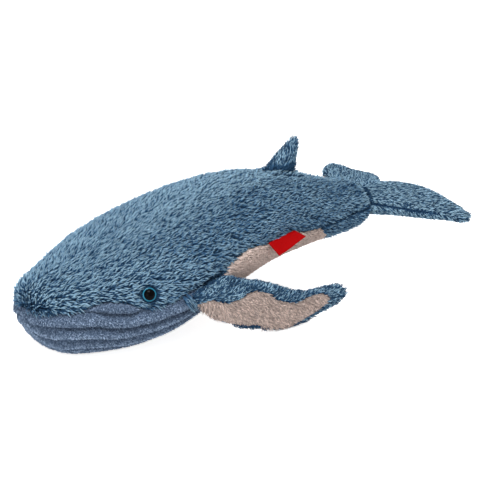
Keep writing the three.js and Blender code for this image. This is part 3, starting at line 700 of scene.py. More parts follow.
def streaked(rng, count, pale=0.4):
    """Tones that are mostly dark with pale ones among them, which give long pile its streaks.

    Roots that follow one another lie side by side, so the pale ones are dealt out evenly.
    """
    dealt = (np.arange(count) * 0.618 + 0.25 * rng.random(count)) % 1 < pale
    return np.where(dealt, rng.uniform(0.79, 0.97, count), rng.uniform(0.0, 0.28, count))


def plain(p):
    return np.ones(len(p))


def short_pile(name, form, mask, comb, seed, finish, cut, shade=plain, growth=plain):
    """Short pile on part of a form. Shade scales the strands' tone by their place, as painted light and
    shade, and growth their length.
    """
    roots, normals, _ = scattered(form, mask, cut.density, seed)
    rng = np.random.default_rng(seed + 1)
    count = len(roots)
    turn = rng.normal(0, cut.stray, count) + 0.25 * drift(roots, 0.015, seed)
    along, rise = laid(normals, comb(roots), turn, rng.normal(cut.rise, 0.1, count))
    tone = (streaked(rng, count, cut.pale) + 0.1 * drift(roots, 0.02, seed + 2)) * shade(roots)
    length = cut.length * rng.uniform(0.7, 1.2, count) * growth(roots)
    width = cut.width * rng.uniform(0.75, 1.2, count)
    return strands(name, roots, normals, along, length, width, rise, tone, rng.normal(0, 0.14, count), finish)


# Finishes


def linear(colour):
    """An sRGB colour, as a colour picker shows it, in the linear values that shaders read."""
    return [c / 12.92 if c <= 0.04045 else ((c + 0.055) / 1.055) ** 2.4 for c in colour]


def finish_of(name, roughness, specular, colour=None):
    """A material with this finish, and its colour where it has one for all of it, in linear values."""
    material = bpy.data.materials.new(name)
    material.use_nodes = True
    shader = material.node_tree.nodes["Principled BSDF"]
    shader.inputs["Roughness"].default_value = roughness
    shader.inputs["Specular IOR Level"].default_value = specular
    if colour:
        shader.inputs["Base Color"].default_value = (*colour, 1)
    return material, material.node_tree.nodes, material.node_tree.links, shader


def ramp_of(nodes, *stops):
    node = nodes.new("ShaderNodeValToRGB")
    elements = node.color_ramp.elements
    while len(elements) < len(stops):
        elements.new(0.5)
    for element, (place, colour) in zip(elements, stops):
        element.position = place
        element.color = (*linear(colour), 1)
    return node


@functools.lru_cache(maxsize=None)
def strand_finish(name, root, middle, tip, own, half=0.55):
    """Pile that is dark at the root and pale at the tip. Each strand's own tone has the given share in it."""
    material, nodes, links, shader = finish_of(name, 0.8, 0.05)
    where = nodes.new("ShaderNodeUVMap")
    where.uv_map = "OFBake"
    split = nodes.new("ShaderNodeSeparateXYZ")
    height, both = nodes.new("ShaderNodeMath"), nodes.new("ShaderNodeMath")
    height.operation, both.operation = "MULTIPLY", "MULTIPLY_ADD"
    height.inputs[1].default_value, both.inputs[1].default_value = 1 - own, own
    ramp = ramp_of(nodes, (0.0, root), (half, middle), (1.0, tip))
    links.new(where.outputs["UV"], split.inputs["Vector"])
    links.new(split.outputs["Y"], height.inputs[0])
    links.new(split.outputs["X"], both.inputs[0])
    links.new(height.outputs["Value"], both.inputs[2])
    links.new(both.outputs["Value"], ramp.inputs["Fac"])
    links.new(ramp.outputs["Color"], shader.inputs["Base Color"])
    return material


@functools.lru_cache(maxsize=None)
def cloth_finish(name, dark, pale, grain, roughness=0.9, bump=0.2):
    """Cloth or short pile with a fine grain, read at its place on the object."""
    material, nodes, links, shader = finish_of(name, roughness, 0.05)
    where = nodes.new("ShaderNodeTexCoord")
    noise = nodes.new("ShaderNodeTexNoise")
    noise.inputs["Scale"].default_value = 1 / grain
    noise.inputs["Detail"].default_value = 2
    ramp = ramp_of(nodes, (0.3, dark), (0.7, pale))
    relief = nodes.new("ShaderNodeBump")
    relief.inputs["Strength"].default_value = bump
    relief.inputs["Distance"].default_value = grain / 2
    links.new(where.outputs["Object"], noise.inputs["Vector"])
    links.new(noise.outputs["Fac"], ramp.inputs["Fac"])
    links.new(noise.outputs["Fac"], relief.inputs["Height"])
    links.new(ramp.outputs["Color"], shader.inputs["Base Color"])
    links.new(relief.outputs["Normal"], shader.inputs["Normal"])
    return material


def fur_finish():
    look = bpy.context.scene.whale_pile
    return strand_finish("blue_pile", tuple(look.root), tuple(look.middle), tuple(look.tip), 0.62, 0.66)


def backing_finish():
    look = bpy.context.scene.whale_pile
    dark, pale = (between(look.root, look.middle, share) for share in (0.2, 0.45))
    return cloth_finish("blue_backing", dark, pale, 0.0012)


def beige_finish():
    look = bpy.context.scene.whale_pile
    return strand_finish("beige_pile", *(scaled(look.beige, level) for level in (0.55, 0.93, 1.12)), 0.55)


def beige_backing():
    look = bpy.context.scene.whale_pile
    return cloth_finish("beige_backing", scaled(look.beige, 0.8), scaled(look.beige, 0.92), 0.0012)


# The body, given from the snout


def above_seam(p):
    """Whether points lie in the side panels, which reach a little further down behind the fins' roots."""
    behind = eased(p[:, 0], 0.108, 0.116) * (1 - eased(p[:, 0], 0.166, 0.180))
    return p[:, 2] > seam_level(p[:, 0]) - 0.005 * behind


def in_belly(p):
    start = throat_end(p[:, 2]) + 0.8 * THROAT_OVERLAP
    return ~above_seam(p) & (p[:, 0] >= start) & (p[:, 0] < belly_end(p[:, 2]))


def belly_under(margin):
    def part(p):
        return in_belly(p) & (p[:, 2] < seam_level(p[:, 0]) - margin)

    return part


def in_tail_underside(p):
    return ~above_seam(p) & (p[:, 0] >= belly_end(p[:, 2]))


def in_throat(p):
    return p[:, 0] < throat_end(p[:, 2]) + THROAT_OVERLAP


def body_pins(p):
    """Cloth is held along the side seams and, above them, along the seam on the back."""
    return np.maximum(near(over_seam(p), 0.005), 0.7 * near(p[:, 1], 0.004) * above_seam(p)) + 0.25


@functools.lru_cache(maxsize=None)
def body_form(inset):
    """The stuffed body under its pile, drawn in along the seams."""
    nose = -NOSE_BULGE * np.array([0.98, 0.85, 0.6, 0.3])
    tail = BODY_LENGTH + TAIL_END_RADIUS * np.array([0.2, 0.4, 0.6, 0.75, 0.87, 0.95, 0.99])
    stations = np.concatenate([nose, np.linspace(0, 0.05, 14), np.linspace(0.054, BODY_LENGTH, 80), tail])
    angles = np.linspace(0, 2 * np.pi, 96, endpoint=False)
    middle = (BODY_LENGTH + TAIL_END_RADIUS - NOSE_BULGE) / 2
    under = eased(-np.sin(angles), -0.3, 0.3)
    rings = []
    for x in stations:
        full = under * (0.75 * eased(x, 0.3, 0.36) + 0.2 * eased(x, 0.375, 0.393))
        full = full + (1 - under) * (0.45 - 0.45 * eased(x, 0.004, 0.045) + 0.45 * eased(x, 0.372, 0.393))
        drawn = inset * (1 - full)
        ring = skin_points(x, angles, drawn)
        ring[:, 0] -= drawn * powered((x - middle) / middle, 3)
        rings.append(ring)
    return plumped("body_form", rings, body_pins, **BODY_STUFFING)


# The throat

ACROSS_RIB = np.linspace(0, 1, 10, endpoint=False)
RIB_PUFF = (1 - (2 * ACROSS_RIB**1.5 - 1) ** 2) ** 0.55
ACROSS_LIP = np.linspace(0, 1, 9, endpoint=False)
LIP_PUFF = (1 - np.abs(2 * ACROSS_LIP - 1) ** 2.2) ** 0.7
THROAT_FADE = throat_end(np.array([0.0]))[0] + np.array([0.005, 0.03])


def rib_places(x, lip):
    """The angles of the points across a station's ribs, and what share of the depth a channel has there."""
    angles = np.linspace(angle_at_level(x, lip)[0], -np.pi / 2, 260)
    steps = np.linalg.norm(np.diff(skin_points(x, angles), axis=0), axis=1)
    run = np.concatenate([[0], np.cumsum(steps)])
    upper = channel_line(x / BODY_LENGTH)[0]
    channels = np.concatenate([[0], upper, np.linspace(upper[-1], 1, RIBS_PER_SIDE - 2)[1:]])
    widths = np.diff(channels)
    room = np.minimum(1, np.minimum(np.append(widths, 1), np.append(1, widths)) * run[-1] / FULL_RIB_WIDTH)
    places = np.append((channels[:-1, None] + widths[:, None] * ACROSS_RIB).ravel(), 1)
    deep = np.append((room[:-1, None] * (1 - ACROSS_RIB) + room[1:, None] * ACROSS_RIB).ravel(), room[-1])
    return np.interp(places * run[-1], run, angles), deep


def throat_row(x, inset, depth):
    """Points of the throat's left half at a station, from the fur's edge to the middle, with painted light
    for each.
    """
    half, _, _, level = (v[0] for v in section(x))
    seam, lip = seam_level(x)[0], rib_top_level(x)[0]
    rib_angles, deep = rib_places(x, lip)
    puffs = np.append(np.tile(RIB_PUFF, RIBS_PER_SIDE), 0)
    # Painted light: each rib is paler towards its lower side and dark at its channels; the top rib is even.
    shine = np.append(np.tile(RIB_PUFF * (0.4 + 0.6 * ACROSS_RIB), RIBS_PER_SIDE), 0)
    shine[: len(RIB_PUFF)] = RIB_PUFF * 0.72
    small = min(1, half / 0.015) * (1 - eased(x, *THROAT_FADE))
    height = min(1, (seam - lip) / 0.007)
    above = np.where(ACROSS_LIP < 0.5, 1.3, 1.0)
    drops = np.concatenate([
        depth * small * 1.3 + np.array([0.004, 0.002]),
        depth * small * (1 - LIP_PUFF * height) * above,
        depth * small * deep * (1 - puffs),
    ])
    angles = np.concatenate([
        angle_at_level(x, seam + np.array([0.006, 0.003])),
        angle_at_level(x, seam + (lip - seam) * ACROSS_LIP),
        rib_angles,
    ])
    crest_light = np.concatenate([[0, 0], np.where(ACROSS_LIP < 0.5, 0.5, LIP_PUFF * 0.6), shine])
    points, centre = skin_points(x, angles), np.array([x, 0, level])
    away = points - centre
    reach = np.linalg.norm(away, axis=1)
    points = centre + away * (1 - np.minimum(inset + drops, reach * 0.7) / np.maximum(reach, 1e-9))[:, None]
    points[:, 0] += max(inset, 0) * np.clip(1 - (x + NOSE_BULGE) / 0.02, 0, 1)
    points[:, 2] = np.maximum(points[:, 2], 0.0004)
    return np.column_stack([points, crest_light])


def throat_form(inset, depth):
    """The throat's ribbed layer. Its values are the painted light on its ribs."""
    nose = -NOSE_BULGE * np.array([0.97, 0.8, 0.5, 0.2])
    stations = np.concatenate([nose, np.linspace(0.001, 0.03, 16), np.linspace(0.0325, 0.19, 76)])
    left = np.array([throat_row(x, inset, depth) for x in stations])
    rows = np.concatenate([left, left[:, -2::-1] * (1, -1, 1, 1)], axis=1)
    count, across = rows.shape[:2]
    points = np.concatenate([rows.reshape(-1, 4), rows[0].mean(axis=0)[None]])
    faces = [(a, d, c, b) for a, b, c, d in grid_faces(count, across)]
    faces += [(len(points) - 1, j, j + 1) for j in range(across - 1)]
    obj = object_of("throat_form", points[:, :3], faces)
    faced_outwards(obj)
    form = Form(obj, points[:, 3])
    # The layer is open, so its outside is the side that faces away from the body's middle.
    if (form.normals * (form.points - (0.08, 0, 0.06))).sum() < 0:
        obj.data.flip_normals()
        form = Form(obj, points[:, 3])
    bpy.data.objects.remove(obj)
    return form


# The fins and the flukes


def fin_root(share, level):
    x = share * BODY_LENGTH
    return skin_points(x, angle_at_level(x, level))[0]


FIN_FRONT = fin_root(FIN_ROOT_SHARES[0], FIN_ROOT_HEIGHT - FIN_FRONT_DROP)
FIN_REAR = fin_root(FIN_ROOT_SHARES[1], FIN_ROOT_HEIGHT)
FIN_ROOT = FIN_REAR - FIN_FRONT


def fin_places(share):
    """The left fin's lower edge, the ways across and out of it, and its swell, at shares of its reach."""
    lower_drop, upper_drop, lower_out, upper_out, swell = fin_line(share).T
    drop = FIN_ROOT_HEIGHT + GROUND_CUT
    x = FIN_FRONT[0] + np.atleast_1d(share) * FIN_REACH
    lower = columns(x, FIN_REAR[1] - lower_out * FIN_SPREAD, FIN_ROOT_HEIGHT - lower_drop * drop)
    upper = columns(x, FIN_REAR[1] - upper_out * FIN_SPREAD, FIN_ROOT_HEIGHT - upper_drop * drop)
    along = upper - lower
    return lower, along, unit(columns(0, -along[:, 2], along[:, 1])), swell


def on_fin(p):
    """Where points lie on the left fin: the share of its reach, the way across it and how far out."""
    share = (p[:, 0] - FIN_FRONT[0]) / FIN_REACH
    lower, along, out, _ = fin_places(np.clip(share, 0, 1))
    away = p - lower
    return share, (away * along).sum(axis=1) / (along**2).sum(axis=1), (away * out).sum(axis=1)


def in_patch(p):
    share, way, out = on_fin(p)
    top, rim = patch_line(share).T
    inside = (share > PATCH_STATIONS[0]) & (share < PATCH_STATIONS[-1])
    return inside & (way < top) & (way > rim) & (out > -0.0005)


def edged(angles, edge, crease):
    """The way across a padded section, from edge to edge, with a crease where its two covers meet."""
    way = edge + (1 - 2 * edge) * (1 - np.cos(angles)) / 2
    return way + min(crease, 0.1) * near(np.sin(angles), 0.2) * np.sign(np.cos(angles))


def fin_pins(p):
    _, way, _ = on_fin(p)
    return np.maximum(near(way - 0.04, 0.06), near(way - 0.96, 0.06)) + 0.2


@functools.lru_cache(maxsize=None)
def fin_form(inset):
    """The stuffed left fin under its pile."""
    angles = np.linspace(0, 2 * np.pi, 40, endpoint=False)
    bulge = np.where(np.sin(angles) > 0, FIN_OUTER_BULGE, FIN_INNER_BULGE)
    rings = []
    for share in np.concatenate([[0.022, 0.03], np.linspace(0.045, 0.975, 52), [0.984, 0.991, 0.998]]):
        lower, along, out, swell = (v[0] for v in fin_places(share))
        size = np.linalg.norm(along)
        way = edged(angles, min(0.4 * inset / size, 0.12), 0.0012 / size)
        thick = np.maximum(bulge * swell - inset, 0.0026)
        rings.append(lower + along * way[:, None] + out * (thick * powered(np.sin(angles), 0.8))[:, None])
    return plumped("fin_form", rings, fin_pins, **FIN_STUFFING)


def fluke_places(share):
    """The flukes' front and rear edge and their swell, at shares of half the span."""
    front, rear, swell = fluke_line(np.abs(share)).T
    share = np.atleast_1d(share)
    reach = FLUKE_SPAN / 2 + LEFT_TIP_GAIN * eased(-share, 0.6, 1) - RIGHT_TIP_LOSS * eased(share, 0.6, 1)
    level = TAIL_END_LEVEL - FLUKE_RISE / 2 - FLUKE_DROP - FLUKE_TIP_DROOP * np.clip(-share, 0, 1) ** 4
    level = level - RIGHT_FLUKE_DROOP * eased(share, 0.0, 0.14) * (1 - 0.9 * eased(share, 0.5, 0.9))
    blunt = 0.04 * eased(np.abs(share), 0.68, 1)
    front = front - blunt - 0.06 * near(share - 0.87, 0.1)
    rear = rear + blunt - 0.14 * near(share - 0.16, 0.14)
    front = columns(BODY_LENGTH + front * FLUKE_LENGTH, share * reach, level)
    rear = columns(BODY_LENGTH + rear * FLUKE_LENGTH, share * reach, level + FLUKE_RISE)
    return front, rear, swell


def tail_surface(p):
    """How far back the tail's round end reaches at the height and breadth of each point."""
    half = section(BODY_LENGTH)[0][0]
    across = np.clip(np.abs(p[:, 1]) / half, 0, 1)
    up = np.clip(np.abs(p[:, 2] - TAIL_END_LEVEL) / TAIL_END_RADIUS, 0, 1)
    left = 1 - up**2 - across**2
    return BODY_LENGTH + TAIL_END_RADIUS * np.sqrt(np.maximum(left, 0)) * (left > 0) - 0.2 * (left <= 0)


def on_flukes(p):
    """Where points lie on the flukes: the share of half the span, the way back across them and how high."""
    share = p[:, 1] / (FLUKE_SPAN / 2)
    front, rear, _ = fluke_places(np.clip(share, -1, 1))
    way = (p[:, 0] - front[:, 0]) / np.maximum(rear[:, 0] - front[:, 0], 1e-6)
    return share, way, p[:, 2] - (front[:, 2] + (rear[:, 2] - front[:, 2]) * np.clip(way, 0, 1))


def fluke_pins(p):
    share, way, _ = on_flukes(p)
    edge = np.maximum(near(way - 0.05, 0.08), near(way - 0.95, 0.08))
    return np.maximum(edge, near(share, 0.03) * 0.6) + 0.2


@functools.lru_cache(maxsize=None)
def fluke_form(inset):
    """The stuffed flukes under their pile. The lower cover is full right from the front edge."""
    angles = np.linspace(0, 2 * np.pi, 40, endpoint=False)
    upper = np.sin(angles) > 0
    full = powered(np.sin(angles), np.where(upper, 0.8, 0.45))
    rings = []
    for share in np.sin(np.linspace(-np.pi / 2, np.pi / 2, 90)) * (1 - 1.2 * inset / FLUKE_SPAN):
        front, rear, swell = (v[0] for v in fluke_places(share))
        along, size = rear - front, np.linalg.norm(rear - front)
        ring = front + along * edged(angles, min(0.4 * inset / size, 0.4), 0.0022 / size)[:, None]
        ring[:, 2] += full * max(swell * FLUKE_THICKNESS / 2 - inset * 0.5, 0.002)
        ring[:, 0] -= 0.0025 * np.clip(-np.sin(2 * angles), 0, 1) * (np.cos(angles) > 0) * ~upper
        ring[:, 0] = np.maximum(ring[:, 0], tail_surface(ring) + inset + 0.001)
        rings.append(ring)
    return plumped("fluke_form", rings, fluke_pins, **FIN_STUFFING)


def back_fin_pins(p):
    return 0.3 * plain(p)


@functools.lru_cache(maxsize=None)
def back_fin_form(inset):
    """The stuffed back fin under its pile, from inside the back to its tip."""
    front_base, rear_base = top_of_back(BACK_FIN_SHARES[0]), top_of_back(BACK_FIN_SHARES[1])
    base, level = rear_base[0] - front_base[0], (front_base[2] + rear_base[2]) / 2
    angles = np.linspace(0, 2 * np.pi, 32, endpoint=False)
    rings = []
    for share in np.linspace(-0.1, 0.87, 24):
        front, rear, swell = back_fin_line(share)[0]
        rake = BACK_FIN_RAKE * share
        a, b = front_base[0] + front * base + rake + inset * 0.3, front_base[0] + rear * base + rake
        b += BACK_FIN_FLARE * (eased(share, 0.02, 0.25) - 0.6 * eased(share, 0.55, 0.85))
        if b - a < BACK_FIN_LEAST:
            a, b = (a + b) / 2 - BACK_FIN_LEAST / 2, (a + b) / 2 + BACK_FIN_LEAST / 2
        x = a + (b - a) * (1 - np.cos(angles)) / 2
        thick = max(swell * BACK_FIN_THICKNESS / 2 - inset * 0.8, 0.0012)
        z = np.maximum(level + share * BACK_FIN_HEIGHT, section(x)[1] - 0.003)
        rings.append(columns(x, np.sin(angles) * thick, z))
    return plumped("back_fin_form", rings, back_fin_pins, **BACK_FIN_STUFFING)


# Settings


class WhalePile(bpy.types.PropertyGroup):
    """The pile's sizes and colours."""

    length: bpy.props.FloatProperty(
        name="Length", description="Length of the long pile on the body", default=0.0080, unit="LENGTH"
    )
    width: bpy.props.FloatProperty(
        name="Width", description="Width of one strand of the long pile", default=0.00145, unit="LENGTH"
    )
    density: bpy.props.FloatProperty(
        name="Density", description="Strands to a square millimetre of the body", default=0.68
    )
    root: bpy.props.FloatVectorProperty(
        name="Root", description="Blue pile at its root", default=NAVY, subtype="COLOR_GAMMA"
    )
    middle: bpy.props.FloatVectorProperty(
        name="Middle", description="Blue pile halfway up", default=MID_BLUE, subtype="COLOR_GAMMA"
    )
    tip: bpy.props.FloatVectorProperty(
        name="Tip", description="Blue pile at its tip", default=PALE_BLUE, subtype="COLOR_GAMMA"
    )
    beige: bpy.props.FloatVectorProperty(
        name="Beige", description="Pile of the belly and the fins' patches", default=BEIGE,
        subtype="COLOR_GAMMA",
    )


class WhaleThroat(bpy.types.PropertyGroup):
    """The throat's ribs and colours."""

    depth: bpy.props.FloatProperty(
        name="Channel depth", description="Depth of the sewn channels", default=0.0066, unit="LENGTH"
    )
    dark: bpy.props.FloatVectorProperty(
        name="Dark", description="Throat pile at its root", default=THROAT_DARK, subtype="COLOR_GAMMA"
    )
    pale: bpy.props.FloatVectorProperty(
        name="Pale", description="Throat pile at its tip", default=THROAT_PALE, subtype="COLOR_GAMMA"
    )


class WhaleEye(bpy.types.PropertyGroup):
    """The safety eyes."""

    ring_diameter: bpy.props.FloatProperty(
        name="Ring", description="Diameter of the coloured ring", default=0.0127, unit="LENGTH"
    )
    pupil_diameter: bpy.props.FloatProperty(
        name="Pupil", description="Diameter of the black dome", default=0.0104, unit="LENGTH"
    )
    ring_colour: bpy.props.FloatVectorProperty(
        name="Ring colour", description="Colour of the ring", default=TEAL, subtype="COLOR_GAMMA"
    )


class WhaleLabel(bpy.types.PropertyGroup):
    """The folded ribbon in the left seam."""

    length: bpy.props.FloatProperty(
        name="Length", description="Length along the seam", default=0.0405, unit="LENGTH"
    )
    reach: bpy.props.FloatProperty(
        name="Reach", description="How far it stands out of the seam", default=0.0135, unit="LENGTH"
    )
    colour: bpy.props.FloatVectorProperty(
        name="Colour", description="Colour of the ribbon", default=RED, subtype="COLOR_GAMMA"
    )


class WhaleStage(bpy.types.PropertyGroup):
    """The studio's light."""

    surround: bpy.props.FloatProperty(
        name="Surround", description="Strength of the even light from all round", default=0.53
    )
    key: bpy.props.FloatProperty(name="Key", description="Power of the large lamp above", default=33)


# The long pile on the body


def eye_frame(sign):
    """The left or right eye's place on the skin, and its way out."""
    x = EYE_STATION * BODY_LENGTH
    angle = angle_at_level(x, level_of(EYE_LEVEL))[0]
    place = skin_points(x, np.array([angle]))[0]
    ahead = skin_points(x + 0.0003, np.array([angle]))[0] - place
    around = skin_points(x, np.array([angle + 0.0022]))[0] - place
    normal = unit(np.cross(ahead, around))
    if normal[1] > 0:
        normal = -normal
    turn = np.array([1, -sign, 1])
    return place * turn, normal * turn


def body_comb(p):
    """Which way the long pile lies: away from the snout, up over the head, and down over the lower seam."""
    side = np.where(p[:, 1] < 0, -1, 1)
    over = over_seam(p)
    head = np.exp(-np.maximum(p[:, 0], 0) / 0.05)
    front = 1 - eased(p[:, 0], 0.0, 0.016)
    upward = 0.85 * head * eased(over, 0.004, 0.025) * (1 - front) + 1.1 * front * eased(over, 0.003, 0.009)
    hanging = (0.6 - 0.3 * eased(p[:, 0], 0.12, 0.16)) * np.exp(-np.maximum(over, 0) / 0.005)
    return columns(1 - 0.6 * front, side * (0.15 + 0.5 * head), 0.05 + upward - hanging * (1 + 0.8 * front))


def over_fin_root(p):
    """How far points lie above the line where the fin on their side is sewn on, and 1 beyond its ends."""
    above = (p[:, 2] - FIN_FRONT[2]) * FIN_ROOT[0] - (p[:, 0] - FIN_FRONT[0]) * FIN_ROOT[2]
    beside = (p[:, 0] > FIN_FRONT[0] - 0.004) & (p[:, 0] < FIN_REAR[0])
    return np.where(beside, above / math.hypot(FIN_ROOT[0], FIN_ROOT[2]), 1.0)


def over_tail_seam(p):
    """How far points lie above the seam under the tail, and 1 ahead of it."""
    return np.where(p[:, 0] > belly_end(p[:, 2]) - 0.004, over_seam(p), 1.0)


def under_fin(p):
    """Whether the fin on their side covers the points."""
    share, way, _ = on_fin(p * columns(1, np.where(p[:, 1] < 0, 1, -1), 1))
    return (share > -0.02) & (share < 0.75) & (way > -0.3) & (way < 0.97)


def seam_edge_growth(p):
    """The long pile is a little shorter along the belly's seam, but not over the label."""
    edge = (p[:, 0] > 0.17) * near(over_seam(p), 0.003)
    label = eased(p[:, 0], 0.226, 0.230) * (1 - eased(p[:, 0], 0.268, 0.272)) * (p[:, 1] < 0)
    return 1 - 0.2 * edge * (1 - label)


def at_back_fin(p):
    """Whether points lie at the back fin's foot, where the pile stands up."""
    beside = (np.abs(p[:, 0] - BACK_FIN_FOOT[0]) < 0.022) & (np.abs(p[:, 1]) < 0.010)
    return beside & (p[:, 2] > BACK_FIN_FOOT[2] - 0.03)


def kept_off_eyes(roots, along, length, full):
    """Lengths that keep pile off the eyes, the strands that stay, and the painted shadow round each eye."""
    keep, dark = np.ones(len(roots), bool), plain(roots)
    for sign in SIDES.values():
        place, out = eye_frame(sign)
        away = roots - place
        flat = away - out * (away @ out)[:, None]
        far = np.linalg.norm(flat, axis=1)
        close = np.abs(away @ out) < EYE_REGION
        for factor in (0.8, 0.62, 0.48, 0.36, 0.26):
            tip = flat + along * (length * 0.88)[:, None]
            tip = tip - out * (tip @ out)[:, None]
            hits = close & (far < EYE_REGION) & (np.linalg.norm(tip, axis=1) < EYE_TIPS)
            length = np.where(hits, full * factor, length)
        keep &= ~(close & (far < EYE_HOLE))
        shadow = close & (far < EYE_SHADOW)
        length = np.where(shadow & (far < EYE_SHORT), np.minimum(length, full * 0.6), length)
        # Painted shadow: the pile's tone darkens near each eye, most of all at its edge.
        dark = np.where(shadow, np.minimum(dark, 0.25 + 0.75 * eased(far, EYE_EDGE, EYE_SHADOW)), dark)
    return length, keep, dark


def stopped_at_seams(roots, along, length):
    """Lengths that end pile from above a seam at it, and painted shade that makes the crease at each seam a
    dark line.
    """
    crease = plain(roots)
    for over, clear in ((over_fin_root, 0.0024), (over_tail_seam, 0.0014)):
        for _ in range(7):
            crossing = (over(roots) > 0) & (over(roots + along * (length * 0.9)[:, None]) < 0.0004)
            length = np.where(crossing, length * 0.8, length)
        # Painted shade: the tone darkens in the crease at the fin's root and at the seam under the tail.
        crease = crease * (0.15 + 0.85 * eased(np.abs(over(roots)), clear / 4, clear))
    return length, crease


def painted_body_light(p, normals):
    """Painted light and shade in the long pile's tone: paler on top and at the tail's end, darker lower down.
    """
    ends = eased(p[:, 0], BODY_LENGTH + 0.011, BODY_LENGTH + 0.018) * above_seam(p)
    top = eased(normals[:, 2], 0.9, 1.0) * eased(p[:, 0], 0.08, 0.14)
    low = 1 - eased(normals[:, 2], -0.2, 0.35)
    upper = eased(normals[:, 2], 0.45, 0.65) * (1 - top) * eased(p[:, 0], 0.09, 0.13)
    flank = near(over_seam(p) - 0.018, 0.014) * eased(p[:, 0], 0.11, 0.16)
    return 0.08 * top - 0.04 * upper - 0.11 * low - 0.06 * flank + 0.45 * ends


def body_pile(name, form, mask, seed, look, scale=1.0, density=1.0):
    """Long pile on part of the body, kept clear of the eyes and short where a fin covers it."""
    roots, normals, _ = scattered(form, mask, look.density * density, seed)
    rng = np.random.default_rng(seed + 1)
    count = len(roots)
    wave = drift(roots, 0.03, 5)
    turn = rng.normal(0, LONG_STRAY, count) + 0.13 * drift(roots, 0.018, 9)
    snout = np.exp(-np.maximum(roots[:, 0], 0) / 0.012)
    lift = rng.normal(LONG_RISE, 0.12, count) + 0.03 * wave + 0.3 * snout
    tone = streaked(rng, count)
    along, rise = laid(normals, body_comb(roots), turn, lift + 0.1 * (tone - 0.45))
    length = look.length * scale * rng.uniform(0.7, 1.1, count) * (0.75 + 0.35 * tone)
    length = np.where(under_fin(roots), length * 0.4, length)
    length, keep, dark = kept_off_eyes(roots, along, length, look.length)
    foot = at_back_fin(roots)
    length = np.where(foot, length * 1.2, length) * seam_edge_growth(roots)
    rise = np.where(foot, np.minimum(rise + 0.25, 0.85), rise)
    length, crease = stopped_at_seams(roots, along, length)
    width = look.width * rng.uniform(0.8, 1.2, count) * (1.2 - 0.45 * tone)
    # Painted light and shade: the place's light, the painted shadow round the eyes and the painted shade in
    # the seams' creases.
    tone = (tone + 0.03 * wave + painted_body_light(roots, normals)) * dark * crease
    bend = rng.normal(0, 0.16, count)
    chosen = [v[keep] for v in (roots, normals, along, length, width, rise, tone, bend)]
    return strands(name, *chosen, fur_finish())


def root_tuft(name, sign):
    """Two folds of pile that hang down in front of the fin's root."""
    count, rng = TUFT_STRANDS, np.random.default_rng(SEEDS["tuft"])
    share, fold = rng.random(count), rng.integers(0, 2, count)
    x = TUFT_FRONT + 0.0045 * fold + 0.004 * share + rng.normal(0, 0.0005, count)
    z = FIN_FRONT[2] + 0.002 - 0.009 * share + 0.001 * fold
    roots = skin_points(x, angle_at_level(x, z))
    normals = unit(roots * (0, 1, 0) + (0, 0, 0.001))
    comb = np.tile((0.62, 0.0, -0.78), (count, 1))
    along, rise = laid(normals, comb, rng.normal(0, 0.07, count), rng.normal(0.2, 0.05, count))
    length = TUFT_LENGTH * rng.uniform(0.8, 1.1, count)
    tone = np.where(rng.random(count) < 0.55, rng.uniform(0.75, 0.97, count), rng.uniform(0.03, 0.3, count))
    width = TUFT_WIDTH * rng.uniform(0.8, 1.2, count)
    turn, bend = (1, -sign, 1), rng.normal(0, 0.06, count)
    return strands(
        name, roots * turn, normals * turn, along * turn, length, width, rise, tone, bend, fur_finish()
    )


def belly_pile(name, form, mask, seed):
    """The belly's brushed pile, with painted light that makes it paler ahead and painted shade that makes it
    darker behind and along the seam.
    """
    roots, normals, _ = scattered(form, mask, BELLY_PILE.density, seed)
    rng = np.random.default_rng(seed + 2)
    count = len(roots)
    comb = np.tile((1.0, 0.0, -0.4), (count, 1))
    turn = rng.normal(0, BELLY_PILE.stray, count) + 0.3 * drift(roots, 0.02, 3)
    along, rise = laid(normals, comb, turn, rng.normal(BELLY_PILE.rise, 0.06, count))
    tone = 0.8 + 0.12 * drift(roots, 0.02, 7) + rng.normal(0, 0.12, count)
    # Painted light ahead, painted shade behind and along the seam.
    tone = tone + 0.25 * (1 - eased(roots[:, 0], 0.20, 0.27)) - 0.3 * eased(roots[:, 0], 0.26, 0.30)
    tone = tone - 0.3 * near(over_seam(roots) + 0.003, 0.004) * (roots[:, 0] < 0.26)
    length = BELLY_PILE.length * rng.uniform(0.7, 1.2, count)
    width = BELLY_PILE.width * rng.uniform(0.7, 1.2, count)
    bend = rng.normal(0, 0.12, count)
    return strands(name, roots, normals, along, length, width, rise, tone, bend, beige_finish())


def throat_pile(name, form, mask, seed, finish):
    """The throat's velvet, longer on the ribs, with painted light pale on them and dark in the channels, and
    darker further back.
    """
    roots, normals, crest_lights = scattered(form, mask, THROAT_PILE.density, seed)
    rng = np.random.default_rng(seed + 2)
    count = len(roots)
    comb = np.tile((1.0, 0.0, -0.3), (count, 1))
    turn = rng.normal(0, THROAT_PILE.stray, count)
    along, rise = laid(normals, comb, turn, rng.normal(THROAT_PILE.rise, 0.1, count))
    length = THROAT_PILE.length * rng.uniform(0.7, 1.2, count) * (0.45 + 0.55 * crest_lights)
    # Painted light from the ribs, with random speckle, and darker further back.
    tone = 0.58 * crest_lights**1.3 + 0.6 * rng.random(count) - 0.08 - 0.08 * eased(roots[:, 0], 0.09, 0.15)
    width = THROAT_PILE.width * rng.uniform(0.7, 1.2, count)
    return velvet(name, roots, normals, along, length, width, rise, tone, finish)


# How the short pile lies, shades and grows on the left fin


def in_outer(p):
    return (on_fin(p)[2] > 0) & ~in_patch(p)


def in_inner(p):
    return on_fin(p)[2] <= 0


def to_tip(p):
    share, way, _ = on_fin(p)
    return columns(1, 0, 1.6 * (way - 0.5) * (1 - 0.5 * eased(share, 0.5, 0.9)) + 0.25)


def down(p):
    share = on_fin(p)[0]
    return columns(0.2 + 0.7 * eased(share, 0.1, 0.4), 0, -0.9 + 0.5 * eased(share, 0.75, 0.95))


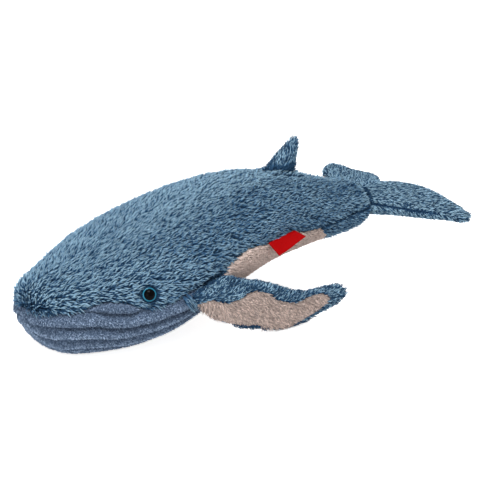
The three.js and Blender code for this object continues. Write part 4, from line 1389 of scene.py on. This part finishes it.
# Painted shadow where the blue pile hangs over the patch's top border.
def border_shade(p):
    share, way, _ = on_fin(p)
    return 1 - 0.6 * near(patch_line(share)[:, 0] - way, 0.05)


def fringe(p):
    share, way, _ = on_fin(p)
    at_rim = eased(patch_line(share)[:, 1] + 0.14 - way, 0.0, 0.1)
    low = eased(share, 0.42, 0.5) * (1 - eased(share, 0.62, 0.7))
    return 1 + at_rim * (0.75 * low - 0.45 * eased(share, 0.12, 0.2))


def outer_shade(p):
    """Painted shade: dark in the crease at the root and along the lower edge."""
    share = np.clip((p - FIN_FRONT) @ FIN_ROOT / (FIN_ROOT @ FIN_ROOT), 0, 1)
    from_root = np.linalg.norm(p - FIN_FRONT - share[:, None] * FIN_ROOT, axis=1)
    return eased(from_root, 0.0015, 0.0045) * (1 - 0.45 * (on_fin(p)[1] < 0.14))


def outer_growth(p):
    share, way, _ = on_fin(p)
    return 1 + 0.35 * (way < 0.12) + 0.35 * eased(share, 0.9, 0.98) - 0.25 * eased(way, 0.85, 0.95)


# Painted shade along the inner cover's lower edge.
def inner_shade(p):
    return 1 - 0.2 * (on_fin(p)[1] < 0.15)


def inner_growth(p):
    return 1 + 0.5 * (on_fin(p)[1] < 0.15)


# Each cover of a side fin: its pile, its seed, where it is, and how its pile lies, shades and grows
FIN_COVERS = {
    "outer_cover": (Pile(1.2, 0.0050, 0.0011, 0.38), 681, in_outer, to_tip, outer_shade, outer_growth),
    "patch": (Pile(1.1, 0.0056, 0.0011, 0.38), 701, in_patch, down, border_shade, fringe),
    "inner_cover": (Pile(0.8, 0.0045, 0.0012, 0.4), 721, in_inner, to_tip, inner_shade, inner_growth),
}


# How it lies, shades and grows on the flukes and the back fin


def in_upper(p):
    return on_flukes(p)[2] > 0


def in_lower(p):
    return on_flukes(p)[2] <= 0


def outward(p):
    side, below = np.where(p[:, 1] < 0, -1, 1), in_lower(p)
    return columns(np.where(below, 0.3, 0.55), np.where(below, 0.6, 0.8) * side, -0.5 * below)


def painted_fluke_light(p):
    """Painted shade along the front seam and where the flukes meet the tail, and painted light on the right
    fluke.
    """
    share, way, out = on_flukes(p)
    seam = 1 - near(out, 0.0009) * (way < 0.12) * (1 - 0.8 * eased(np.abs(share), 0.6, 0.8))
    return 1.2 * seam * (1 + 0.6 * (share > 0)) * eased(p[:, 0] - tail_surface(p), 0.004, 0.012)


def seam_growth(p):
    _, way, out = on_flukes(p)
    return 1 - 0.5 * near(out, 0.003) * (way < 0.12)


def upward(p):
    away = p - BACK_FIN_FOOT
    return columns(0.3 + 13 * (away[:, 0] - 0.5 * away[:, 2]), 0, 1)


# Painted shade at the back fin's foot, where it stands in the body's pile.
def foot_shade(p):
    return 0.45 + 0.55 * eased(p[:, 2] - BACK_FIN_FOOT[2], 0.0, 0.006)


def tip_growth(p):
    return 1 + 0.25 * eased(p[:, 2] - BACK_FIN_FOOT[2], 0.016, 0.028)


# Operators


class WHALE_OT_filling(bpy.types.Operator):
    """Makes the body's loose filling"""

    bl_idname = "whale.filling"
    bl_label = "Filling"

    def execute(self, context):
        filling = filling_of("body_filling", body_form(BODY_INSET), BODY_GAP)
        placed(filling, "body", "filling", "body_stuffing", fill=BODY_FILL)
        return {"FINISHED"}


class WHALE_OT_side_panels(bpy.types.Operator):
    """Makes the two side panels with their long pile"""

    bl_idname = "whale.side_panels"
    bl_label = "Side panels"

    def execute(self, context):
        look, form = context.scene.whale_pile, body_form(BODY_INSET)
        for side, sign in SIDES.items():
            home = ("body", "blue_fur", f"{side}_side_panel")
            here = on_side(above_seam, sign)
            panel = patch_of(f"{side}_side_backing", form, here, BODY_CLOTH, backing_finish())
            placed(panel, *home, fill=BODY_FILL)
            for part, (start, end, seed) in SPANS.items():
                span = within(here, start, end)
                placed(body_pile(f"{side}_{part}_pile", form, span, seed + sign, look), *home)
            placed(root_tuft(f"{side}_root_tuft", sign), *home)
        return {"FINISHED"}


class WHALE_OT_tail_underside(bpy.types.Operator):
    """Makes the blue panel under the tail"""

    bl_idname = "whale.tail_underside"
    bl_label = "Tail underside"

    def execute(self, context):
        look, form = context.scene.whale_pile, body_form(BODY_INSET)
        home = ("body", "blue_fur", "tail_underside")
        panel = patch_of("tail_underside_backing", form, in_tail_underside, BODY_CLOTH, backing_finish())
        placed(panel, *home, fill=BODY_FILL)
        seed = SEEDS["tail_underside"]
        placed(body_pile("tail_underside_pile", form, in_tail_underside, seed, look, 1.05, 1.2), *home)
        return {"FINISHED"}


class WHALE_OT_belly(bpy.types.Operator):
    """Makes the beige belly"""

    bl_idname = "whale.belly"
    bl_label = "Belly"

    def execute(self, context):
        form, home = body_form(BELLY_INSET), ("body", "beige_plush", "belly_panel")
        panel = patch_of("belly_backing", form, belly_under(0.0015), BODY_CLOTH, beige_backing())
        placed(panel, *home, fill=BODY_FILL)
        for side, sign in SIDES.items():
            here = on_side(belly_under(0.002), sign)
            placed(belly_pile(f"{side}_belly_pile", form, here, SEEDS["belly"] + sign), *home)
        return {"FINISHED"}


class WHALE_OT_throat(bpy.types.Operator):
    """Makes the ribbed throat"""

    bl_idname = "whale.throat"
    bl_label = "Throat"

    def execute(self, context):
        look, home = context.scene.whale_throat, ("body", "throat_plush", "throat_panel")
        form = throat_form(-0.0003, look.depth)
        dark, pale = tuple(look.dark), tuple(look.pale)
        middle = between(dark, pale, 0.5)
        finish = strand_finish("throat_pile", dark, middle, pale, 0.85)
        cloth = cloth_finish("throat_cloth", dark, middle, 0.0011)
        placed(patch_of("throat_backing", form, in_throat, THROAT_CLOTH, cloth), *home, fill=THROAT_FILL)
        for side, sign in SIDES.items():
            here = on_side(in_throat, sign)
            placed(throat_pile(f"{side}_throat_pile", form, here, SEEDS["throat"] + sign, finish), *home)
        return {"FINISHED"}


class WHALE_OT_eyes(bpy.types.Operator):
    """Makes the two safety eyes"""

    bl_idname = "whale.eyes"
    bl_label = "Eyes"

    def execute(self, context):
        look = context.scene.whale_eye
        black = finish_of("eye_gloss", 0.06, 0.05, (0.0015, 0.0015, 0.002))[0]
        teal = finish_of("eye_ring", 0.2, 0.5, linear(look.ring_colour))[0]
        white = finish_of("washer_plastic", 0.5, 0.4, (0.69, 0.69, 0.66))[0]
        flat = Matrix.Diagonal((1, 1, 0.72, 1))
        for side, sign in SIDES.items():
            bpy.ops.mesh.primitive_uv_sphere_add(segments=48, ring_count=24, radius=look.pupil_diameter / 2)
            self.seat(f"{side}_eye_dome", sign, EYE_DEPTH, black, "eye_black", f"{side}_eye_pupil", flat)
            bpy.ops.mesh.primitive_torus_add(
                major_radius=look.ring_diameter / 2 - RING_WIRE, minor_radius=RING_WIRE,
                major_segments=64, minor_segments=14,
            )
            self.seat(f"{side}_eye_ring", sign, EYE_DEPTH, teal, "eye_teal", f"{side}_eye_iris")
        for side, sign in SIDES.items():
            bpy.ops.mesh.primitive_cylinder_add(vertices=48, radius=WASHER_RADIUS, depth=WASHER_THICKNESS)
            apply_modifier(bpy.context.object, "BEVEL", width=0.0004, segments=3)
            lock, node = f"{side}_eye_lock", f"{side}_eye_washer"
            self.seat(lock, sign, WASHER_DEPTH, white, "washer_plastic", node, smooth=False)
        return {"FINISHED"}

    def seat(self, name, sign, depth, finish, slot, node, shape=Matrix(), smooth=True):
        """Sets the new primitive at this depth under an eye's place, facing out of the body."""
        obj = bpy.context.object
        obj.name = name
        place, out = eye_frame(sign)
        turn = Vector(out).to_track_quat("Z", "Y").to_matrix().to_4x4()
        middle = Matrix.Translation(Vector(place + (SNOUT_SHIFT, 0, 0)))
        obj.data.transform(middle @ turn @ Matrix.Translation((0, 0, -depth)) @ shape)
        if smooth:
            obj.data.shade_smooth()
        obj.data.materials.append(finish)
        placed(obj, "body", slot, node)


class WHALE_OT_side_fins(bpy.types.Operator):
    """Makes the two side fins with their patches"""

    bl_idname = "whale.side_fins"
    bl_label = "Side fins"

    def execute(self, context):
        blue = ("blue_fur", backing_finish(), fur_finish())
        beige = ("beige_plush", beige_backing(), beige_finish())
        looks = {"outer_cover": blue, "patch": beige, "inner_cover": blue}
        for side, sign in SIDES.items():
            body, left = f"{side}_fin", fin_form(FIN_INSET)
            form = left if sign < 0 else left.mirrored()
            for part, (_, _, mask, *_) in FIN_COVERS.items():
                slot, cloth, _ = looks[part]
                name = f"{body}_{part.removesuffix('_cover')}_backing"
                backing = patch_of(name, form, turned(mask, sign), FIN_CLOTH, cloth)
                placed(backing, body, slot, f"{body}_{part}", fill=FIN_FILL)
            filling = filling_of(f"{body}_filling", form, FIN_GAP)
            placed(filling, body, "filling", f"{body}_wadding", fill=FIN_FILL)
            for part, (cut, seed, *fields) in FIN_COVERS.items():
                slot, _, finish = looks[part]
                mask, comb, shade, growth = (turned(field, sign) for field in fields)
                name = f"{body}_{part}_pile"
                pile = short_pile(name, form, mask, comb, seed + sign, finish, cut, shade, growth)
                placed(pile, body, slot, f"{body}_{part}")
        return {"FINISHED"}


class WHALE_OT_flukes(bpy.types.Operator):
    """Makes the flukes"""

    bl_idname = "whale.flukes"
    bl_label = "Flukes"

    def execute(self, context):
        form = fluke_form(FLUKE_INSET)
        bend = [(BODY_LENGTH + SNOUT_SHIFT + behind, 0, TAIL_END_LEVEL) for behind in FLUKE_BEND]
        for half, mask in (("upper", in_upper), ("lower", in_lower)):
            home = ("flukes", "blue_fur", f"flukes_{half}_cover")
            backing = patch_of(f"flukes_{half}_backing", form, mask, FIN_CLOTH, backing_finish())
            placed(backing, *home, fill=FIN_FILL, bend=bend)
            name, seed = f"flukes_{half}_pile", SEEDS[half]
            pile = short_pile(
                name, form, mask, outward, seed, fur_finish(), FLUKE_PILE, painted_fluke_light, seam_growth
            )
            placed(pile, *home, bend=bend)
        filling = filling_of("flukes_filling", form, FIN_GAP)
        nodes = ("left_fluke_wadding", "right_fluke_wadding")
        placed(filling, "flukes", "filling", *nodes, fill=FIN_FILL, bend=bend)
        return {"FINISHED"}


class WHALE_OT_back_fin(bpy.types.Operator):
    """Makes the back fin"""

    bl_idname = "whale.back_fin"
    bl_label = "Back fin"

    def execute(self, context):
        form, bend = back_fin_form(BACK_FIN_INSET), BACK_FIN_BEND
        for side, sign in SIDES.items():
            home = ("back_fin", "blue_fur", f"{side}_back_fin_cover")
            here = on_side(anywhere, sign)
            backing = patch_of(f"{side}_back_fin_backing", form, here, BACK_FIN_CLOTH, backing_finish())
            placed(backing, *home, fill=BACK_FIN_FILL, bend=bend)
            name, seed = f"{side}_back_fin_pile", SEEDS["back_fin"] + sign
            pile = short_pile(
                name, form, here, upward, seed, fur_finish(), BACK_FIN_PILE, foot_shade, tip_growth
            )
            placed(pile, *home, bend=bend)
        filling = filling_of("back_fin_filling", form, BACK_FIN_GAP)
        placed(filling, "back_fin", "filling", "back_fin_wadding", fill=BACK_FIN_FILL, bend=bend)
        return {"FINISHED"}


def ribbon_profile(reach):
    """The folded ribbon from edge to edge, as its reach out of the seam and its height off the middle."""
    turn = RIBBON_GAP + RIBBON_THICKNESS / 2
    upper = [(v, turn) for v in np.linspace(0.001, reach - 0.0012, 8)]
    fold = [(reach - 0.0008 + turn * math.sin(a), turn * math.cos(a)) for a in np.linspace(0, math.pi, 7)]
    return [(-0.001, turn), *upper, *fold, *((v, -turn) for v, _ in reversed(upper)), (-0.001, -turn)]


def seam_point(x):
    return skin_points(x, angle_at_level(x, seam_level(x)))[0]


class WHALE_OT_seam_label(bpy.types.Operator):
    """Makes the bare ribbon label in the left seam"""

    bl_idname = "whale.seam_label"
    bl_label = "Seam label"

    def execute(self, context):
        look = context.scene.whale_label
        front = seam_point(LABEL_FRONT * BODY_LENGTH)
        rear = seam_point(LABEL_FRONT * BODY_LENGTH + look.length)
        axis, middle, length = unit(rear - front), (front + rear) / 2, np.linalg.norm(rear - front)
        profile, stations = ribbon_profile(look.reach), np.linspace(-0.5, 0.5, 25)
        points = []
        for share in stations:
            wave = 0.0004 * math.sin(share * 7.0)
            droop = math.radians(RIBBON_DROOP + RIBBON_TWIST * share)
            out = np.array([0, -math.cos(droop), -math.sin(droop)])
            out = unit(out - axis * (out @ axis))
            up = np.cross(out, axis)
            stretch = RIBBON_STRETCH - RIBBON_TAPER * share
            for reach, height in profile:
                far = max(reach, 0) / look.reach
                bow = wave * far - 0.0006 * far**2
                points.append(middle + axis * share * length + out * reach * stretch + up * (height + bow))
        obj = object_of("seam_ribbon", points, grid_faces(len(stations), len(profile)))
        apply_modifier(obj, "SOLIDIFY", thickness=RIBBON_THICKNESS, offset=0)
        faced_outwards(obj)
        red = tuple(look.colour)
        obj.data.materials.append(cloth_finish("ribbon", scaled(red, 0.86), red, 0.0006, 0.6, 0.15))
        placed(obj, "label", "label_ribbon", "seam_label")
        return {"FINISHED"}


def aimed(name, data, place, target):
    obj = bpy.data.objects.new(name, data)
    obj.location = place
    obj.rotation_euler = (Vector(target) - obj.location).to_track_quat("-Z", "Y").to_euler()
    bpy.context.scene.collection.objects.link(obj)
    return obj


def studio_floor():
    """A floor that the camera sees white, apart from the whale's shadow."""
    bpy.ops.mesh.primitive_plane_add(size=12, location=(0, 0, FLOOR_LEVEL))
    floor = bpy.context.object
    floor.name = "floor"
    material, nodes, links, shader = finish_of("floor_white", 1.0, 0.0, (0.94, 0.94, 0.94))
    shader.inputs["Emission Color"].default_value = (1, 1, 1, 1)
    path = nodes.new("ShaderNodeLightPath")
    glow = nodes.new("ShaderNodeMath")
    glow.operation = "MULTIPLY"
    glow.inputs[1].default_value = FLOOR_GLOW
    links.new(path.outputs["Is Camera Ray"], glow.inputs[0])
    links.new(glow.outputs["Value"], shader.inputs["Emission Strength"])
    floor.data.materials.append(material)


def studio_world(surround):
    """A white background that lights the whale evenly with the given strength."""
    world = bpy.data.worlds.new("studio")
    bpy.context.scene.world = world
    world.use_nodes = True
    nodes, links = world.node_tree.nodes, world.node_tree.links
    background = nodes["Background"]
    background.inputs["Color"].default_value = (1, 1, 1, 1)
    path = nodes.new("ShaderNodeLightPath")
    level = nodes.new("ShaderNodeMapRange")
    level.inputs["To Min"].default_value = surround
    level.inputs["To Max"].default_value = 1
    links.new(path.outputs["Is Camera Ray"], level.inputs["Value"])
    links.new(level.outputs["Result"], background.inputs["Strength"])


class WHALE_OT_stage(bpy.types.Operator):
    """Sets the camera, the floor and the studio light"""

    bl_idname = "whale.stage"
    bl_label = "Stage"

    def execute(self, context):
        scene, look = context.scene, context.scene.whale_stage
        scene.camera = aimed("camera", bpy.data.cameras.new("camera"), CAMERA_PLACE, CAMERA_TARGET)
        scene.camera.data.lens = CAMERA_LENS
        scene.camera.data.sensor_width = SENSOR_WIDTH
        studio_floor()
        for name, (place, share, size) in LAMPS.items():
            lamp = aimed(name, bpy.data.lights.new(name, "AREA"), place, LAMP_TARGET)
            lamp.data.energy = look.key * share
            lamp.data.size = size
        studio_world(look.surround)
        scene.view_settings.view_transform = "Standard"
        return {"FINISHED"}


class WHALE_PT_sidebar(bpy.types.Panel):
    """Lists the whale's settings and its operators"""

    bl_idname = "WHALE_PT_sidebar"
    bl_label = "Plush whale"
    bl_space_type = "VIEW_3D"
    bl_region_type = "UI"
    bl_category = "Whale"

    def draw(self, context):
        for name in SETTINGS:
            group = getattr(context.scene, name)
            box = self.layout.box()
            for setting in group.__annotations__:
                box.prop(group, setting)
        for operator in OPERATORS:
            self.layout.operator(operator.bl_idname)


OPERATORS = (
    WHALE_OT_filling, WHALE_OT_side_panels, WHALE_OT_tail_underside, WHALE_OT_belly, WHALE_OT_throat,
    WHALE_OT_eyes, WHALE_OT_side_fins, WHALE_OT_flukes, WHALE_OT_back_fin, WHALE_OT_seam_label,
    WHALE_OT_stage,
)
SETTINGS = {
    "whale_pile": WhalePile, "whale_throat": WhaleThroat, "whale_eye": WhaleEye,
    "whale_label": WhaleLabel, "whale_stage": WhaleStage,
}


def register():
    for kind in (*SETTINGS.values(), *OPERATORS, WHALE_PT_sidebar):
        bpy.utils.register_class(kind)
    for name, kind in SETTINGS.items():
        setattr(bpy.types.Scene, name, bpy.props.PointerProperty(type=kind))


def unregister():
    for name in SETTINGS:
        delattr(bpy.types.Scene, name)
    for kind in reversed((*SETTINGS.values(), *OPERATORS, WHALE_PT_sidebar)):
        bpy.utils.unregister_class(kind)


def main():
    register()
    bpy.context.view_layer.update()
    for step in (
        bpy.ops.whale.filling, bpy.ops.whale.side_panels, bpy.ops.whale.tail_underside, bpy.ops.whale.belly,
        bpy.ops.whale.throat, bpy.ops.whale.eyes, bpy.ops.whale.side_fins, bpy.ops.whale.flukes,
        bpy.ops.whale.back_fin, bpy.ops.whale.seam_label, bpy.ops.whale.stage,
    ):
        step()


if __name__ == "__main__":
    main()
